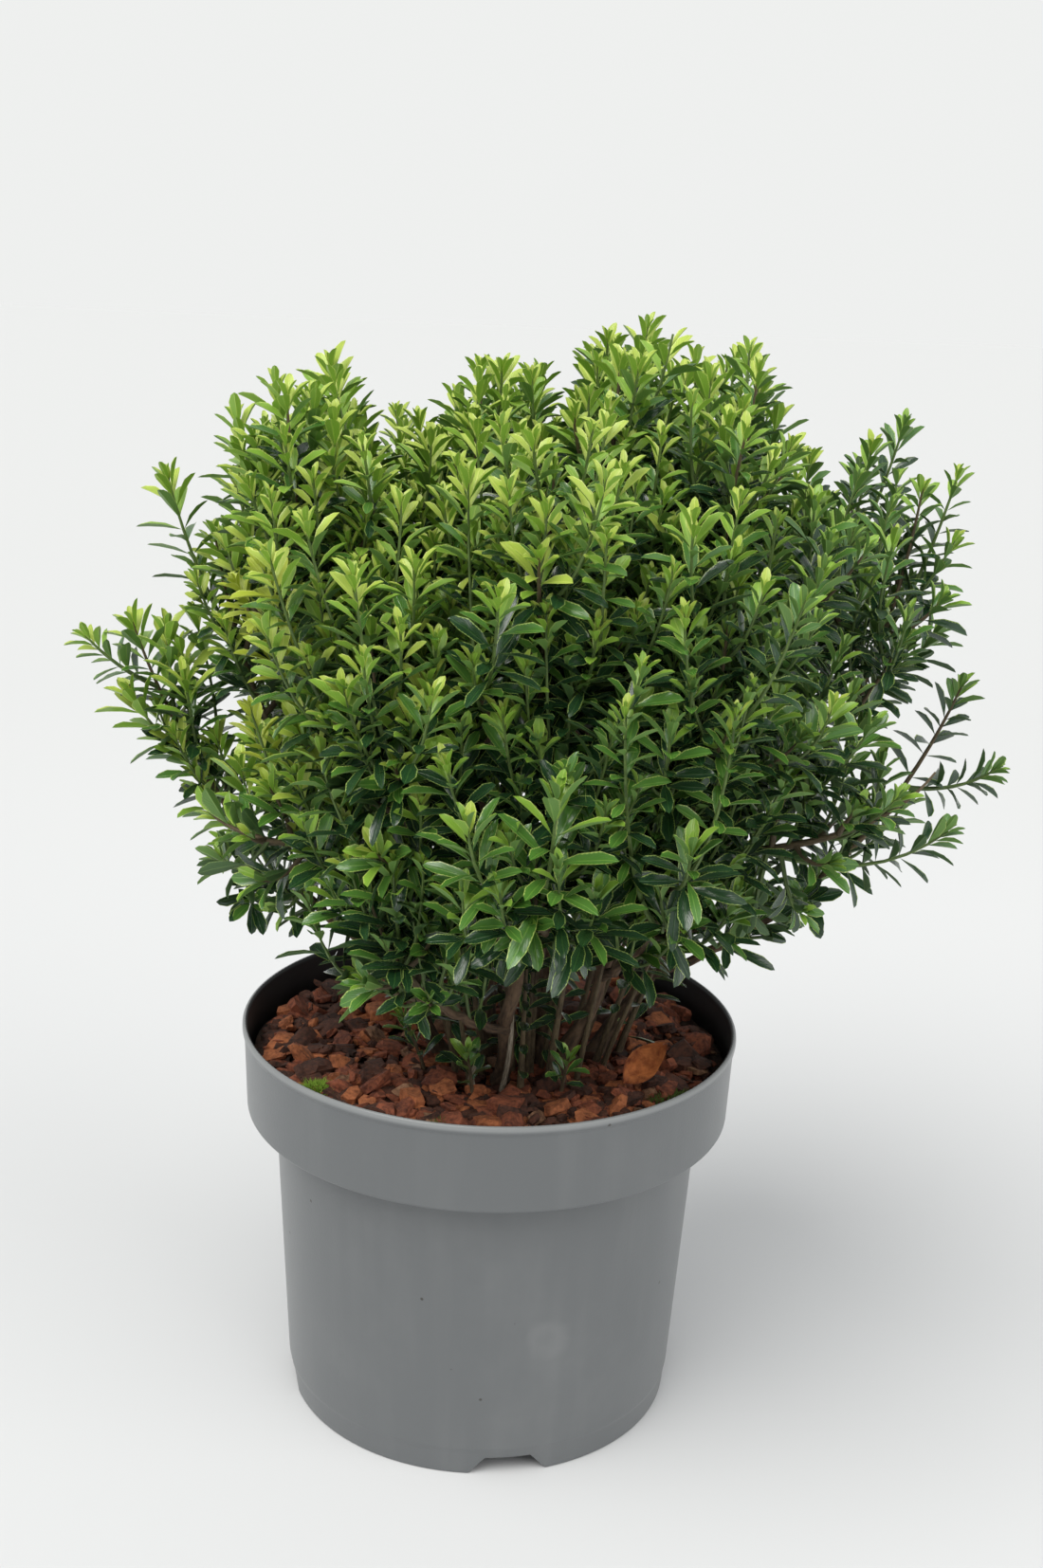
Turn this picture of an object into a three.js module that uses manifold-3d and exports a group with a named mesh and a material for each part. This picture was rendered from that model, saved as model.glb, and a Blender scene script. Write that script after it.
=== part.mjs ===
// A Japanese spindle shrub in its plastic nursery pot, in millimetres, +Z up.
// The origin is the centre of the pot's flat underside. The front of the plant faces -Y.
import * as THREE from "three";
import { mergeVertices } from "three/addons/utils/BufferGeometryUtils.js";
import Module from "manifold-3d";

const wasm = await Module();
wasm.setup();

// Driving sizes of the pot
const POT_HEIGHT = 197;
const RIM_RADIUS = 123;
const BAND_HEIGHT = 44;
const BAND_FOOT_RADIUS = 120.5;
const BODY_TOP_RADIUS = 106.5;
const BODY_FOOT_RADIUS = 98.5;
const FOOT_RADIUS = 97.2;
const FOOT_HEIGHT = 14.5;
const WALL = 2;
const LIP_HEIGHT = 4;
const FLOOR_RAISE = 10;
const HUB_RADIUS = 42;
const POT_SIDES = 36;
const NOTCHES = 4;
const NOTCH_TOP = 22;
const NOTCH_FOOT = 42;
const NOTCH_HEIGHT = 9;
const FIRST_NOTCH_DEG = -79;
const DRAIN_HOLES = 4;
const DRAIN_RADIUS = 6;
const DRAIN_RING = 72;

// Driving sizes of the planting
const CLEARANCE = 0.3;
const MULCH_LEVEL = 184;
const MULCH_BUMP = 3.5;
const LEVEL_ROUND_STEMS = 26;
const CROWN_X = 20;
const CROWN_Y = -6;
const CROWN_Z = 340;
const SEED = 5;

// The stems' feet, and the limbs' radii from thick to thin
const OUTER_STEMS = 6;
const INNER_STEMS = 3;
const FOOT_X = 14;
const FOOT_Y = -16;
const OUTER_FOOT_RING = 36;
const INNER_FOOT_RING = 14;
const FOOT_TURNS = 0.3;
const STEM_FOOT_RADIUS = 4.2;
const STEM_FLARE = 2;
const STEM_TIP_RADIUS = 2.6;
const FLARE_SHARE = 0.05;
const STEM_STEPS = 5;
const BOUGH_STEPS = 3;
const LIMB_SIDES = 6;
const BOUGH_ROOT_RADIUS = 2.5;
const BOUGH_TIP_RADIUS = 1.9;
const TWIG_RADIUS = 1.5;
const TWIG_TIP_RADIUS = 0.8;

// The twigs of a mass: where side twigs leave its main one, how far they reach and how they turn
const SIDE_TWIGS = 6;
const FIRST_TWIG = 0.08;
const LAST_TWIG = 0.68;
const TWIG_REACH = 0.8;
const TWIG_SHORTENS = 0.5;
const TWIG_TURNS = 0.16;
const TWIG_RISES = 0.3;
const TWIG_SIZES = [1, 0.82, 0.66, 0.5];
const MASS_TURN = 1.3;
const GOLDEN_ANGLE = Math.PI * (3 - Math.sqrt(5));
const THIRD_TURN = (2 * Math.PI) / 3;

// The leaves stand for sprays, so they are larger than life. The nodes are counted back from a
// twig's tip: how far back each one is, how far its leaves lean out and how large they are.
const LEAF_LENGTH = 47;
const LEAF_WIDTH = 22;
const LEAF_FOLD = 0.06;
const LEAF_DROOP = 0.12;
const LEAF_SIZES = [1, 0.84, 0.7, 0.58];
const NODE_BAND = 2.4;
const NODE_BACK = [5, 19, 45, 71, 97];
const NODE_LEAN = [0.42, 0.72, 0.95, 1.1, 1.15];
const NODE_SIZE = [0.72, 0.95, 1, 1, 0.9];
const SIDE_PAIRS = 3;
const BARE_FOOT = 10;
const LEAN_VARIES = 0.15;
const SIZE_VARIES = 0.12;

// Room that is kept free: between the spaces of two masses, round limbs and over the pot. BOWS
// are the sideways bends that a bough tries in turn to pass the limbs in its way.
const SPACE_MARGIN = 0.6;
const LIMB_MARGIN = 1;
const STEM_ROOM = 8;
const BOUGH_ROOM = 5;
const POT_ROOM = 8;
const RIM_ZONE = 12;
const BOWS = [0, 8, -8, 16, -16, 24, -24, 32, -32, 40, -40];

// The crown's body, out of which only its longest shoots stand: its axis, its half width at rising
// heights, and how far beyond that a side twig, a short side twig and a leaf on one may reach
const BODY_X = 25;
const BODY_Y = -6;
const BODY_HEIGHTS = [215, 240, 263, 287, 334, 381, 428, 475, 498, 522, 545];
const BODY_RADII = [95, 122, 150, 166, 176, 182, 180, 170, 148, 124, 60];
const TWIG_WITHIN = 0.96;
const SHORT_TWIG_WITHIN = 1.4;
const SHORT_TWIG = 0.6;
const LEAF_WITHIN = 1.06;

// Each ring of foliage: where its tips stand, how far each one reaches from the crown's centre and
// how high, how its limb bends on the way (share of the reach and rise at the curve's control
// point), where on the parent stem it forks off and where on its own path the foliage begins.
const RINGS = {
  low: {
    turnDeg: 0,
    reach: [190, 140, 142, 195, 132, 128],
    height: [362, 292, 294, 392, 288, 336],
    bend: [0.7, 0.3],
    forkAt: [0.14, 0.2],
    leafFrom: 0.42,
  },
  fill: {
    turnDeg: 30,
    reach: [162, 140, 146, 156, 140, 186],
    height: [360, 352, 352, 318, 320, 352],
    bend: [0.8, 0.3],
    forkAt: [0.24, 0.36],
    leafFrom: 0.44,
  },
  mid: {
    turnDeg: 0,
    reach: [168, 140, 138, 160, 140, 144],
    height: [462, 428, 430, 468, 402, 412],
    bend: [0.84, 0.34],
    forkAt: [0.3, 0.34],
    leafFrom: 0.44,
  },
  upper: {
    turnDeg: 30,
    reach: [182, 118, 120, 130, 118, 98],
    height: [486, 462, 486, 490, 472, 516],
    bend: [0.8, 0.4],
    leafFrom: 0.54,
  },
  top: {
    turnDeg: 60,
    reach: [52, 34, 52],
    height: [510, 500, 508],
    bend: [0.7, 0.5],
    leafFrom: 0.6,
  },
};

const BARK = { color: 0x6b5a45, roughness: 0.9, metalness: 0 };
const LEAF_GREEN = { color: 0x3f7a2e, roughness: 0.45, metalness: 0 };
const POT_GREY = { color: 0x7b7e80, roughness: 0.5, metalness: 0 };
const MULCH_BROWN = { color: 0x7a4128, roughness: 0.95, metalness: 0 };

const model = new THREE.Group();

// A repeatable number from 0 to 1 for each n
function chance(n) {
  const s = Math.sin(n * 127.1 + SEED * 311.7) * 43758.5453;
  return s - Math.floor(s);
}

function vary(n, share) {
  return 1 + share * (2 * chance(n) - 1);
}

function radians(degrees) {
  return (degrees * Math.PI) / 180;
}

function polar(radius, angle, z, x = 0, y = 0) {
  return new THREE.Vector3(x + radius * Math.cos(angle), y + radius * Math.sin(angle), z);
}

// A closed geometry as a manifold-3d solid
function solidOf(geometry) {
  const bare = geometry.index ? geometry.toNonIndexed() : geometry.clone();
  for (const name of Object.keys(bare.attributes)) {
    if (name !== "position") bare.deleteAttribute(name);
  }
  const merged = mergeVertices(bare, 1e-3);
  return new wasm.Manifold(
    new wasm.Mesh({
      numProp: 3,
      vertProperties: new Float32Array(merged.attributes.position.array),
      triVerts: new Uint32Array(merged.index.array),
    }),
  );
}

function geometryOf(solid) {
  const mesh = solid.getMesh();
  const geometry = new THREE.BufferGeometry();
  geometry.setAttribute("position", new THREE.BufferAttribute(mesh.vertProperties, 3));
  geometry.setIndex(new THREE.BufferAttribute(mesh.triVerts, 1));
  return geometry;
}

function addPart(name, geometry, look) {
  const mesh = new THREE.Mesh(geometry, new THREE.MeshStandardMaterial(look));
  mesh.name = name;
  model.add(mesh);
}

// The largest body of a joined solid, with scraps and sealed hollows left out
function largestBody(solid) {
  return solid.decompose().reduce((a, b) => (b.volume() > a.volume() ? b : a));
}

// The part of a quadratic curve between two shares of it
function partOf(curve, from, to) {
  const middle = (from + to) / 2;
  const start = curve.getPoint(from);
  const end = curve.getPoint(to);
  const control = curve.getPoint(middle).multiplyScalar(2);
  control.addScaledVector(start, -0.5).addScaledVector(end, -0.5);
  return new THREE.QuadraticBezierCurve3(start, control, end);
}

// A closed cylinder bent along a plane curve. flatFoot turns its first ring level.
function limb(curve, radiusAt, steps, flatFoot = false) {
  const chord = curve.v2.clone().sub(curve.v0);
  const across = curve.v1.clone().sub(curve.v0).cross(chord);
  if (across.lengthSq() < 1e-6 * chord.lengthSq()) across.set(-chord.y, chord.x, 0.01);
  across.normalize();
  const geometry = new THREE.CylinderGeometry(1, 1, 1, LIMB_SIDES, steps);
  const place = geometry.getAttribute("position");
  for (let i = 0; i < place.count; i++) {
    const share = Math.min(1, Math.max(0, place.getY(i) + 0.5));
    const tangent = curve.getTangent(share);
    if (flatFoot && share === 0) tangent.set(0, 0, 1);
    const side = across.clone().addScaledVector(tangent, -across.dot(tangent)).normalize();
    const front = new THREE.Vector3().crossVectors(tangent, side);
    const radius = radiusAt(share);
    const point = curve.getPoint(share);
    point.addScaledVector(front, place.getX(i) * radius);
    point.addScaledVector(side, place.getZ(i) * radius);
    place.setXYZ(i, point.x, point.y, point.z);
  }
  return solidOf(geometry);
}

// A leaf from a node of a twig. along runs from base to tip and upper is the side that faces the
// twig's own tip. The blade is folded up along its midrib and its tip droops.
function leafShape(base, along, tangent, length) {
  const upper = tangent.clone().addScaledVector(along, -tangent.dot(along)).normalize();
  const right = new THREE.Vector3().crossVectors(upper, along);
  const middle = base.clone().addScaledVector(along, 0.48 * length);
  middle.addScaledVector(upper, LEAF_FOLD * length);
  const half = (0.5 * LEAF_WIDTH * length) / LEAF_LENGTH;
  const tip = base.clone().addScaledVector(along, length);
  tip.addScaledVector(upper, -LEAF_DROOP * length);
  return {
    tip,
    left: middle.clone().addScaledVector(right, -half),
    right: middle.clone().addScaledVector(right, half),
    base,
  };
}

// Points on a leaf's outline that are tested for room
function outlineOf(leaf) {
  const points = [leaf.tip, leaf.left, leaf.right];
  for (const edge of [leaf.left, leaf.right]) {
    points.push(leaf.tip.clone().lerp(edge, 0.5), leaf.base.clone().lerp(edge, 0.6));
  }
  points.push(leaf.tip.clone().lerp(leaf.base, 0.5));
  return points;
}

// Whether an edge or the midrib of one leaf passes through the blade of another
function pierces(leaf, other) {
  const lines = [
    [leaf.left, leaf.tip],
    [leaf.right, leaf.tip],
    [leaf.base, leaf.left],
    [leaf.base, leaf.right],
    [leaf.base, leaf.tip],
  ];
  const hit = new THREE.Vector3();
  return lines.some(([start, end]) => {
    const ray = new THREE.Ray(start, end.clone().sub(start).normalize());
    return [other.left, other.right].some((side) => {
      const found = ray.intersectTriangle(other.base, side, other.tip, false, hit);
      return found !== null && hit.distanceTo(start) < end.distanceTo(start);
    });
  });
}

// The eight faces of a leaf that takes the place of one face of a twig. below and above are that
// face's lower and upper edges, each from left to right as seen from outside.
function leafFaces(below, above, left, right, tip) {
  return [
    [below[0], below[1], tip],
    [below[1], right, tip],
    [left, below[0], tip],
    [below[1], above[1], right],
    [above[0], below[0], left],
    [above[1], above[0], tip],
    [right, above[1], tip],
    [tip, above[0], left],
  ];
}

function distanceToLine(point, line) {
  let best = Infinity;
  const near = new THREE.Vector3();
  for (let i = 1; i < line.length; i++) {
    new THREE.Line3(line[i - 1], line[i]).closestPointToPoint(point, true, near);
    best = Math.min(best, near.distanceTo(point));
  }
  return best;
}

// The pot: one turned wall with its floor, band and lip, then the notches and drain holes cut
function makePot() {
  const bandFoot = POT_HEIGHT - BAND_HEIGHT;
  const lipFoot = POT_HEIGHT - LIP_HEIGHT;
  const profile = [
    [0, 0],
    [HUB_RADIUS, 0],
    [HUB_RADIUS + 4, FLOOR_RAISE],
    [FOOT_RADIUS - WALL - 3, FLOOR_RAISE],
    [FOOT_RADIUS - WALL - 2, 0],
    [FOOT_RADIUS, 0],
    [BODY_FOOT_RADIUS, FOOT_HEIGHT],
    [BODY_TOP_RADIUS, bandFoot],
    [BAND_FOOT_RADIUS, bandFoot],
    [RIM_RADIUS - 1, lipFoot],
    [RIM_RADIUS, lipFoot + 1],
    [RIM_RADIUS, POT_HEIGHT],
    [RIM_RADIUS - WALL - 0.5, POT_HEIGHT],
    [BAND_FOOT_RADIUS - WALL, bandFoot + WALL],
    [BODY_TOP_RADIUS - WALL, bandFoot + WALL],
    [BODY_FOOT_RADIUS - WALL - 1, FLOOR_RAISE + WALL],
    [0, FLOOR_RAISE + WALL],
  ];
  const turned = new THREE.LatheGeometry(
    profile.map(([r, z]) => new THREE.Vector2(r, z)),
    POT_SIDES,
  );
  turned.rotateX(Math.PI / 2);
  let pot = solidOf(turned);
  const notch = new THREE.Shape([
    new THREE.Vector2(-NOTCH_FOOT / 2, -2),
    new THREE.Vector2(NOTCH_FOOT / 2, -2),
    new THREE.Vector2(NOTCH_TOP / 2, NOTCH_HEIGHT),
    new THREE.Vector2(-NOTCH_TOP / 2, NOTCH_HEIGHT),
  ]);
  for (let i = 0; i < NOTCHES; i++) {
    const cutter = new THREE.ExtrudeGeometry(notch, { depth: 12, bevelEnabled: false });
    cutter.rotateX(Math.PI / 2);
    cutter.translate(0, FOOT_RADIUS + 4, 0);
    cutter.rotateZ(radians(FIRST_NOTCH_DEG - 90 + (360 / NOTCHES) * i));
    pot = pot.subtract(solidOf(cutter));
  }
  for (let i = 0; i < DRAIN_HOLES; i++) {
    const drill = new THREE.CylinderGeometry(DRAIN_RADIUS, DRAIN_RADIUS, 3 * WALL, 8);
    const angle = radians(FIRST_NOTCH_DEG + (360 / DRAIN_HOLES) * i);
    drill.rotateX(Math.PI / 2);
    drill.translate(DRAIN_RING * Math.cos(angle), DRAIN_RING * Math.sin(angle), FLOOR_RAISE + 1);
    pot = pot.subtract(solidOf(drill));
  }
  addPart("pot", geometryOf(pot), POT_GREY);
}

// Compost under bark mulch, filling the pot clear of its wall. It is level round the stems' feet
// and uneven further out.
function makeMulch() {
  const floor = FLOOR_RAISE + WALL + CLEARANCE;
  const shoulder = POT_HEIGHT - BAND_HEIGHT + WALL + CLEARANCE;
  const bodyTop = BODY_TOP_RADIUS - WALL - 2 * CLEARANCE;
  const bandInside = BAND_FOOT_RADIUS - WALL - 2 * CLEARANCE;
  const level = OUTER_FOOT_RING + LEVEL_ROUND_STEMS;
  const profile = [
    [0, floor],
    [BODY_FOOT_RADIUS - WALL - 1 - 2 * CLEARANCE, floor],
    [bodyTop, shoulder - 2],
    [bodyTop, shoulder],
    [bandInside, shoulder],
    [bandInside, MULCH_LEVEL - 5],
    [(level + bandInside) / 2, MULCH_LEVEL],
    [level, MULCH_LEVEL],
    [0, MULCH_LEVEL],
  ];
  const turned = new THREE.LatheGeometry(
    profile.map(([r, z]) => new THREE.Vector2(r, z)),
    POT_SIDES,
  );
  turned.rotateX(Math.PI / 2);
  const bare = turned.clone();
  bare.deleteAttribute("normal");
  bare.deleteAttribute("uv");
  const merged = mergeVertices(bare, 1e-3);
  const place = merged.getAttribute("position");
  for (let i = 0; i < place.count; i++) {
    const radius = Math.hypot(place.getX(i), place.getY(i));
    if (place.getZ(i) < MULCH_LEVEL - 6 || radius < level + 1) continue;
    place.setZ(i, place.getZ(i) + MULCH_BUMP * (2 * chance(i + 900) - 1));
  }
  addPart("mulch_bed", geometryOf(solidOf(merged)), MULCH_BROWN);
}

// The curve from a foot or fork to a tip, rising more steeply towards its end
function risingCurve(start, tip, bend) {
  const control = start.clone().lerp(tip, bend[0]);
  control.z = start.z + (tip.z - start.z) * bend[1];
  return new THREE.QuadraticBezierCurve3(start, control, tip);
}

function tipOf(ring, i) {
  const step = (2 * Math.PI) / ring.reach.length;
  const angle = radians(ring.turnDeg) + i * step;
  return polar(ring.reach[i], angle, ring.height[i], CROWN_X, CROWN_Y);
}

// A branch off a stem, bowed sideways by the least amount that clears the limbs in its way
function clearBranch(start, tip, bend, others) {
  const sideways = new THREE.Vector3(start.y - tip.y, tip.x - start.x, 0).normalize();
  const curves = BOWS.map((bow) => {
    const curve = risingCurve(start, tip, bend);
    curve.v1.addScaledVector(sideways, bow);
    return curve;
  });
  const found = curves.find((curve) =>
    curve.getPoints(24).slice(3).every((point) => clearOfLimbs(point, others)),
  );
  if (!found) throw new Error("no clear way for a bough");
  return found;
}

// Every limb of the shrub: the stems with the foliage at their tips, and the boughs off them
function layOut() {
  const stems = [];
  const boughs = [];
  const masses = [];
  const paths = [];
  for (let s = 0; s < OUTER_STEMS + INNER_STEMS; s++) {
    const outer = s < OUTER_STEMS;
    const i = outer ? s : s - OUTER_STEMS;
    const ring = outer ? RINGS.upper : RINGS.top;
    const angle = (i * 2 * Math.PI) / ring.reach.length + (outer ? 0 : radians(ring.turnDeg));
    const turn = angle + FOOT_TURNS * chance(s + 20);
    const ringRadius = (outer ? OUTER_FOOT_RING : INNER_FOOT_RING) * vary(s, SIZE_VARIES);
    const foot = polar(ringRadius, turn, MULCH_LEVEL + CLEARANCE, FOOT_X, FOOT_Y);
    const path = risingCurve(foot, tipOf(ring, i), ring.bend);
    const name = "foliage_" + (outer ? "upper_" : "top_") + (i + 1);
    stems.push({ name: "stem_" + (s + 1), curve: partOf(path, 0, ring.leafFrom) });
    masses.push({ name, path, from: ring.leafFrom, root: STEM_TIP_RADIUS });
    paths.push({ path, outer, i });
  }
  const taken = paths.map(({ path }) => ({ line: path.getPoints(16), radius: STEM_ROOM }));
  paths.forEach(({ path, outer, i }, parent) => {
    const forks = outer
      ? [{ kind: "low", k: i }, { kind: "mid", k: i }]
      : [{ kind: "fill", k: 2 * i }, { kind: "fill", k: 2 * i + 1 }];
    for (const { kind, k } of forks) {
      const ring = RINGS[kind];
      const fork = path.getPoint(ring.forkAt[k % 2]);
      const others = taken.filter((line, t) => t !== parent);
      const branch = clearBranch(fork, tipOf(ring, k), ring.bend, others);
      const label = kind + "_" + (k + 1);
      boughs.push({ name: "bough_" + label, curve: partOf(branch, 0, ring.leafFrom), parent });
      masses.push({
        name: "foliage_" + label,
        path: branch,
        from: ring.leafFrom,
        root: BOUGH_TIP_RADIUS,
      });
      taken.push({ line: branch.getPoints(16), radius: BOUGH_ROOM });
    }
  });
  return { stems, boughs, masses };
}

function stemRadius(share) {
  const taper = STEM_FOOT_RADIUS + (STEM_TIP_RADIUS - STEM_FOOT_RADIUS) * share;
  return taper + STEM_FLARE * Math.exp(-share / FLARE_SHARE);
}

function boughRadius(share) {
  return BOUGH_ROOT_RADIUS + (BOUGH_TIP_RADIUS - BOUGH_ROOT_RADIUS) * share;
}

function makeStems(stems) {
  for (const stem of stems) {
    addPart(stem.name, geometryOf(limb(stem.curve, stemRadius, STEM_STEPS, true)), BARK);
  }
}

// Each bough starts inside its stem and is cut clear of it
function makeBoughs(boughs, stems) {
  const clearRadius = (share) => stemRadius(share) + 1.2 * CLEARANCE;
  for (const bough of boughs) {
    const stem = stems[bough.parent];
    const whole = limb(bough.curve, boughRadius, BOUGH_STEPS);
    const cut = largestBody(whole.subtract(limb(stem.curve, clearRadius, STEM_STEPS, true)));
    addPart(bough.name, geometryOf(cut), BARK);
  }
}

// The main twig of a mass: its own stem, from just clear of the limb that carries it to its tip
function mainTwig(mass, number) {
  const length = partOf(mass.path, mass.from, 1).getLength();
  const start = mass.from + ((1 - mass.from) * CLEARANCE) / length;
  const curve = partOf(mass.path, start, 1);
  return { curve, root: mass.root, turn: number, pairs: NODE_BACK.length };
}

// Side twigs stand round the main twig by the golden angle. Each leaves at a wide angle, turns
// outwards and up, and is shorter the nearer it starts to the tip. size cuts it back.
function sideTwig(main, number, k, size) {
  const share = FIRST_TWIG + ((LAST_TWIG - FIRST_TWIG) * k) / (SIDE_TWIGS - 1);
  const from = main.getPoint(share);
  const tangent = main.getTangent(share);
  const outward = from.clone().sub(new THREE.Vector3(CROWN_X, CROWN_Y, CROWN_Z)).normalize();
  const across = new THREE.Vector3().crossVectors(tangent, outward).normalize();
  across.applyAxisAngle(tangent, number * MASS_TURN + k * GOLDEN_ANGLE);
  const change = vary(number * 31 + k, SIZE_VARIES);
  const reach = size * main.getLength() * (TWIG_REACH - TWIG_SHORTENS * share) * change;
  const control = from.clone().addScaledVector(tangent, 0.2 * reach);
  control.addScaledVector(across, 0.5 * reach);
  const end = control.clone().addScaledVector(tangent, 0.2 * reach);
  end.addScaledVector(across, TWIG_TURNS * reach).addScaledVector(outward, TWIG_TURNS * reach);
  end.z += TWIG_RISES * reach;
  const curve = new THREE.QuadraticBezierCurve3(from, control, end);
  return { curve, root: TWIG_RADIUS, turn: number + k, pairs: SIDE_PAIRS };
}

// The stations along a twig: its foot, then the lower and upper edge of each node's short band.
// pair counts the nodes back from the tip.
function stationsOf(twig, length) {
  const backs = NODE_BACK.slice(0, twig.pairs).filter((back) => back < length - BARE_FOOT);
  const stations = [{ at: 0, node: 0 }];
  for (let node = 0; node < backs.length; node++) {
    const pair = backs.length - 1 - node;
    const middle = length - backs[pair];
    stations.push({ at: middle - NODE_BAND / 2, node, pair });
    stations.push({ at: middle + NODE_BAND / 2, node });
  }
  return stations;
}

// The three corners of a twig at a station. From node to node it turns back by 30 degrees, which
// for three sides is the same as a quarter turn on.
function ringAt(twig, station, length) {
  const curve = twig.curve;
  const share = station.at / length;
  const centre = curve.getPointAt(share);
  const tangent = curve.getTangentAt(share);
  const side = curve.v1.clone().sub(curve.v0).cross(curve.v2.clone().sub(curve.v0));
  if (side.length() < 1e-3 * length * length) side.set(1, 0.2, 0.1);
  side.addScaledVector(tangent, -side.dot(tangent)).normalize();
  const radius = twig.root + (TWIG_TIP_RADIUS - twig.root) * share;
  const turn = twig.turn - (station.node * Math.PI) / 6;
  const corners = [0, 1, 2].map((i) => {
    const spoke = side.clone().applyAxisAngle(tangent, turn + i * THIRD_TURN);
    return centre.clone().addScaledVector(spoke, radius);
  });
  return { ...station, tangent, side, turn, corners };
}

// The leaf on one face of a node's band, as large as there is space for, or none
function leafOn(ring, face, order, base, number, hasSpace) {
  const swing = order === 0 ? -Math.PI / 6 : Math.PI / 6;
  const angle = ring.turn + (face + 0.5) * THIRD_TURN + swing;
  const outward = ring.side.clone().applyAxisAngle(ring.tangent, angle);
  const lean = NODE_LEAN[ring.pair] * vary(number * 5 + ring.pair * 2 + order, LEAN_VARIES);
  const along = ring.tangent.clone().multiplyScalar(Math.cos(lean));
  along.addScaledVector(outward, Math.sin(lean));
  const change = vary(number * 7 + ring.pair * 3 + order, SIZE_VARIES);
  const length = LEAF_LENGTH * NODE_SIZE[ring.pair] * change;
  const shapes = LEAF_SIZES.map((share) => leafShape(base, along, ring.tangent, share * length));
  return shapes.find(hasSpace);
}

// A leafy shoot as one closed mesh: a three-sided twig whose faces open out into leaves. Each
// opposite pair of leaves grows from two of the three faces of a node's band, taken in turn, so
// their roots are part of the twig. hasSpace says which leaves are kept.
function shootSolid(twig, number, hasSpace) {
  const length = twig.curve.getLength();
  const rings = stationsOf(twig, length).map((station) => ringAt(twig, station, length));
  const points = rings.flatMap((ring) => ring.corners);
  const faces = [[2, 1, 0]];
  rings.slice(1).forEach((above, r) => {
    const ring = rings[r];
    for (let i = 0; i < 3; i++) {
      const j = (i + 1) % 3;
      const low = [3 * r + i, 3 * r + j];
      const high = [3 * r + 3 + i, 3 * r + 3 + j];
      const order = (i - ring.node + 9) % 3;
      const base = ring.corners[i].clone().lerp(above.corners[j], 0.5);
      const bears = ring.pair !== undefined && order < 2;
      const leaf = bears ? leafOn(ring, i, order, base, number, hasSpace) : null;
      if (leaf) {
        const first = points.push(leaf.left, leaf.right, leaf.tip) - 3;
        faces.push(...leafFaces(low, high, first, first + 1, first + 2));
      } else {
        faces.push([low[0], low[1], high[1]], [low[0], high[1], high[0]]);
      }
    }
  });
  const last = 3 * (rings.length - 1);
  const tip = points.push(twig.curve.getPoint(1)) - 1;
  for (let i = 0; i < 3; i++) faces.push([last + i, last + ((i + 1) % 3), tip]);
  const geometry = new THREE.BufferGeometry().setFromPoints(points);
  geometry.setIndex(faces.flat());
  return solidOf(geometry);
}

// A point keeps to the space of a mass if it is nearer to that mass's stem than to any other's
function keepsToSpace(point, own, masses) {
  const mine = distanceToLine(point, own.line);
  return masses.every(
    (other) => other === own || distanceToLine(point, other.line) > mine + 2 * SPACE_MARGIN,
  );
}

function clearOfLimbs(point, limbs) {
  return limbs.every(({ line, radius }) => distanceToLine(point, line) > radius + LIMB_MARGIN);
}

function clearOfPot(point) {
  const radius = Math.hypot(point.x, point.y);
  return point.z > (radius > RIM_RADIUS - RIM_ZONE ? POT_HEIGHT : MULCH_LEVEL) + POT_ROOM;
}

// How far out a point stands: its distance from the body's axis over the half width at its height
function fullness(point) {
  const last = BODY_HEIGHTS.length - 1;
  if (point.z >= BODY_HEIGHTS[last]) return Infinity;
  const above = Math.max(1, BODY_HEIGHTS.findIndex((height) => height > point.z));
  const step = BODY_HEIGHTS[above] - BODY_HEIGHTS[above - 1];
  const share = Math.max(0, (point.z - BODY_HEIGHTS[above - 1]) / step);
  const radius = BODY_RADII[above - 1] + share * (BODY_RADII[above] - BODY_RADII[above - 1]);
  return Math.hypot(point.x - BODY_X, point.y - BODY_Y) / radius;
}

function hasRoom(points, own, masses, limbs) {
  return points.every(
    (p) => clearOfPot(p) && clearOfLimbs(p, limbs) && keepsToSpace(p, own, masses),
  );
}

// Side twigs are cut back until they fit in the mass's space, or else left out
function fittingTwig(main, number, k, hasSpace) {
  const sides = TWIG_SIZES.map((size) => sideTwig(main, number, k, size));
  return sides.find((side, i) => {
    const points = side.curve.getPoints(6).slice(1);
    const within = TWIG_SIZES[i] > SHORT_TWIG ? TWIG_WITHIN : SHORT_TWIG_WITHIN;
    return hasSpace(points) && points.every((point) => fullness(point) < within);
  });
}

function makeFoliage(masses, limbs) {
  masses.forEach((mass) => {
    mass.line = partOf(mass.path, mass.from, 1).getPoints(6);
  });
  masses.forEach((mass, m) => {
    const hasSpace = (points) => hasRoom(points, mass, masses, limbs);
    const twigs = [mainTwig(mass, m)];
    for (let k = 0; k < SIDE_TWIGS; k++) {
      const twig = fittingTwig(twigs[0].curve, m, k, hasSpace);
      if (twig) twigs.push(twig);
    }
    const placed = [];
    const leafFits = (leaf, onSideTwig) => {
      const fits =
        (!onSideTwig || fullness(leaf.tip) < LEAF_WITHIN) &&
        hasSpace(outlineOf(leaf)) &&
        placed.every((other) => !pierces(leaf, other) && !pierces(other, leaf));
      if (fits) placed.push(leaf);
      return fits;
    };
    const shoots = twigs.map((twig, k) =>
      shootSolid(twig, m * 11 + k, (leaf) => leafFits(leaf, k > 0)),
    );
    const joined = shoots.reduce((a, b) => a.add(b));
    addPart(mass.name, geometryOf(largestBody(joined)), LEAF_GREEN);
  });
}

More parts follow.
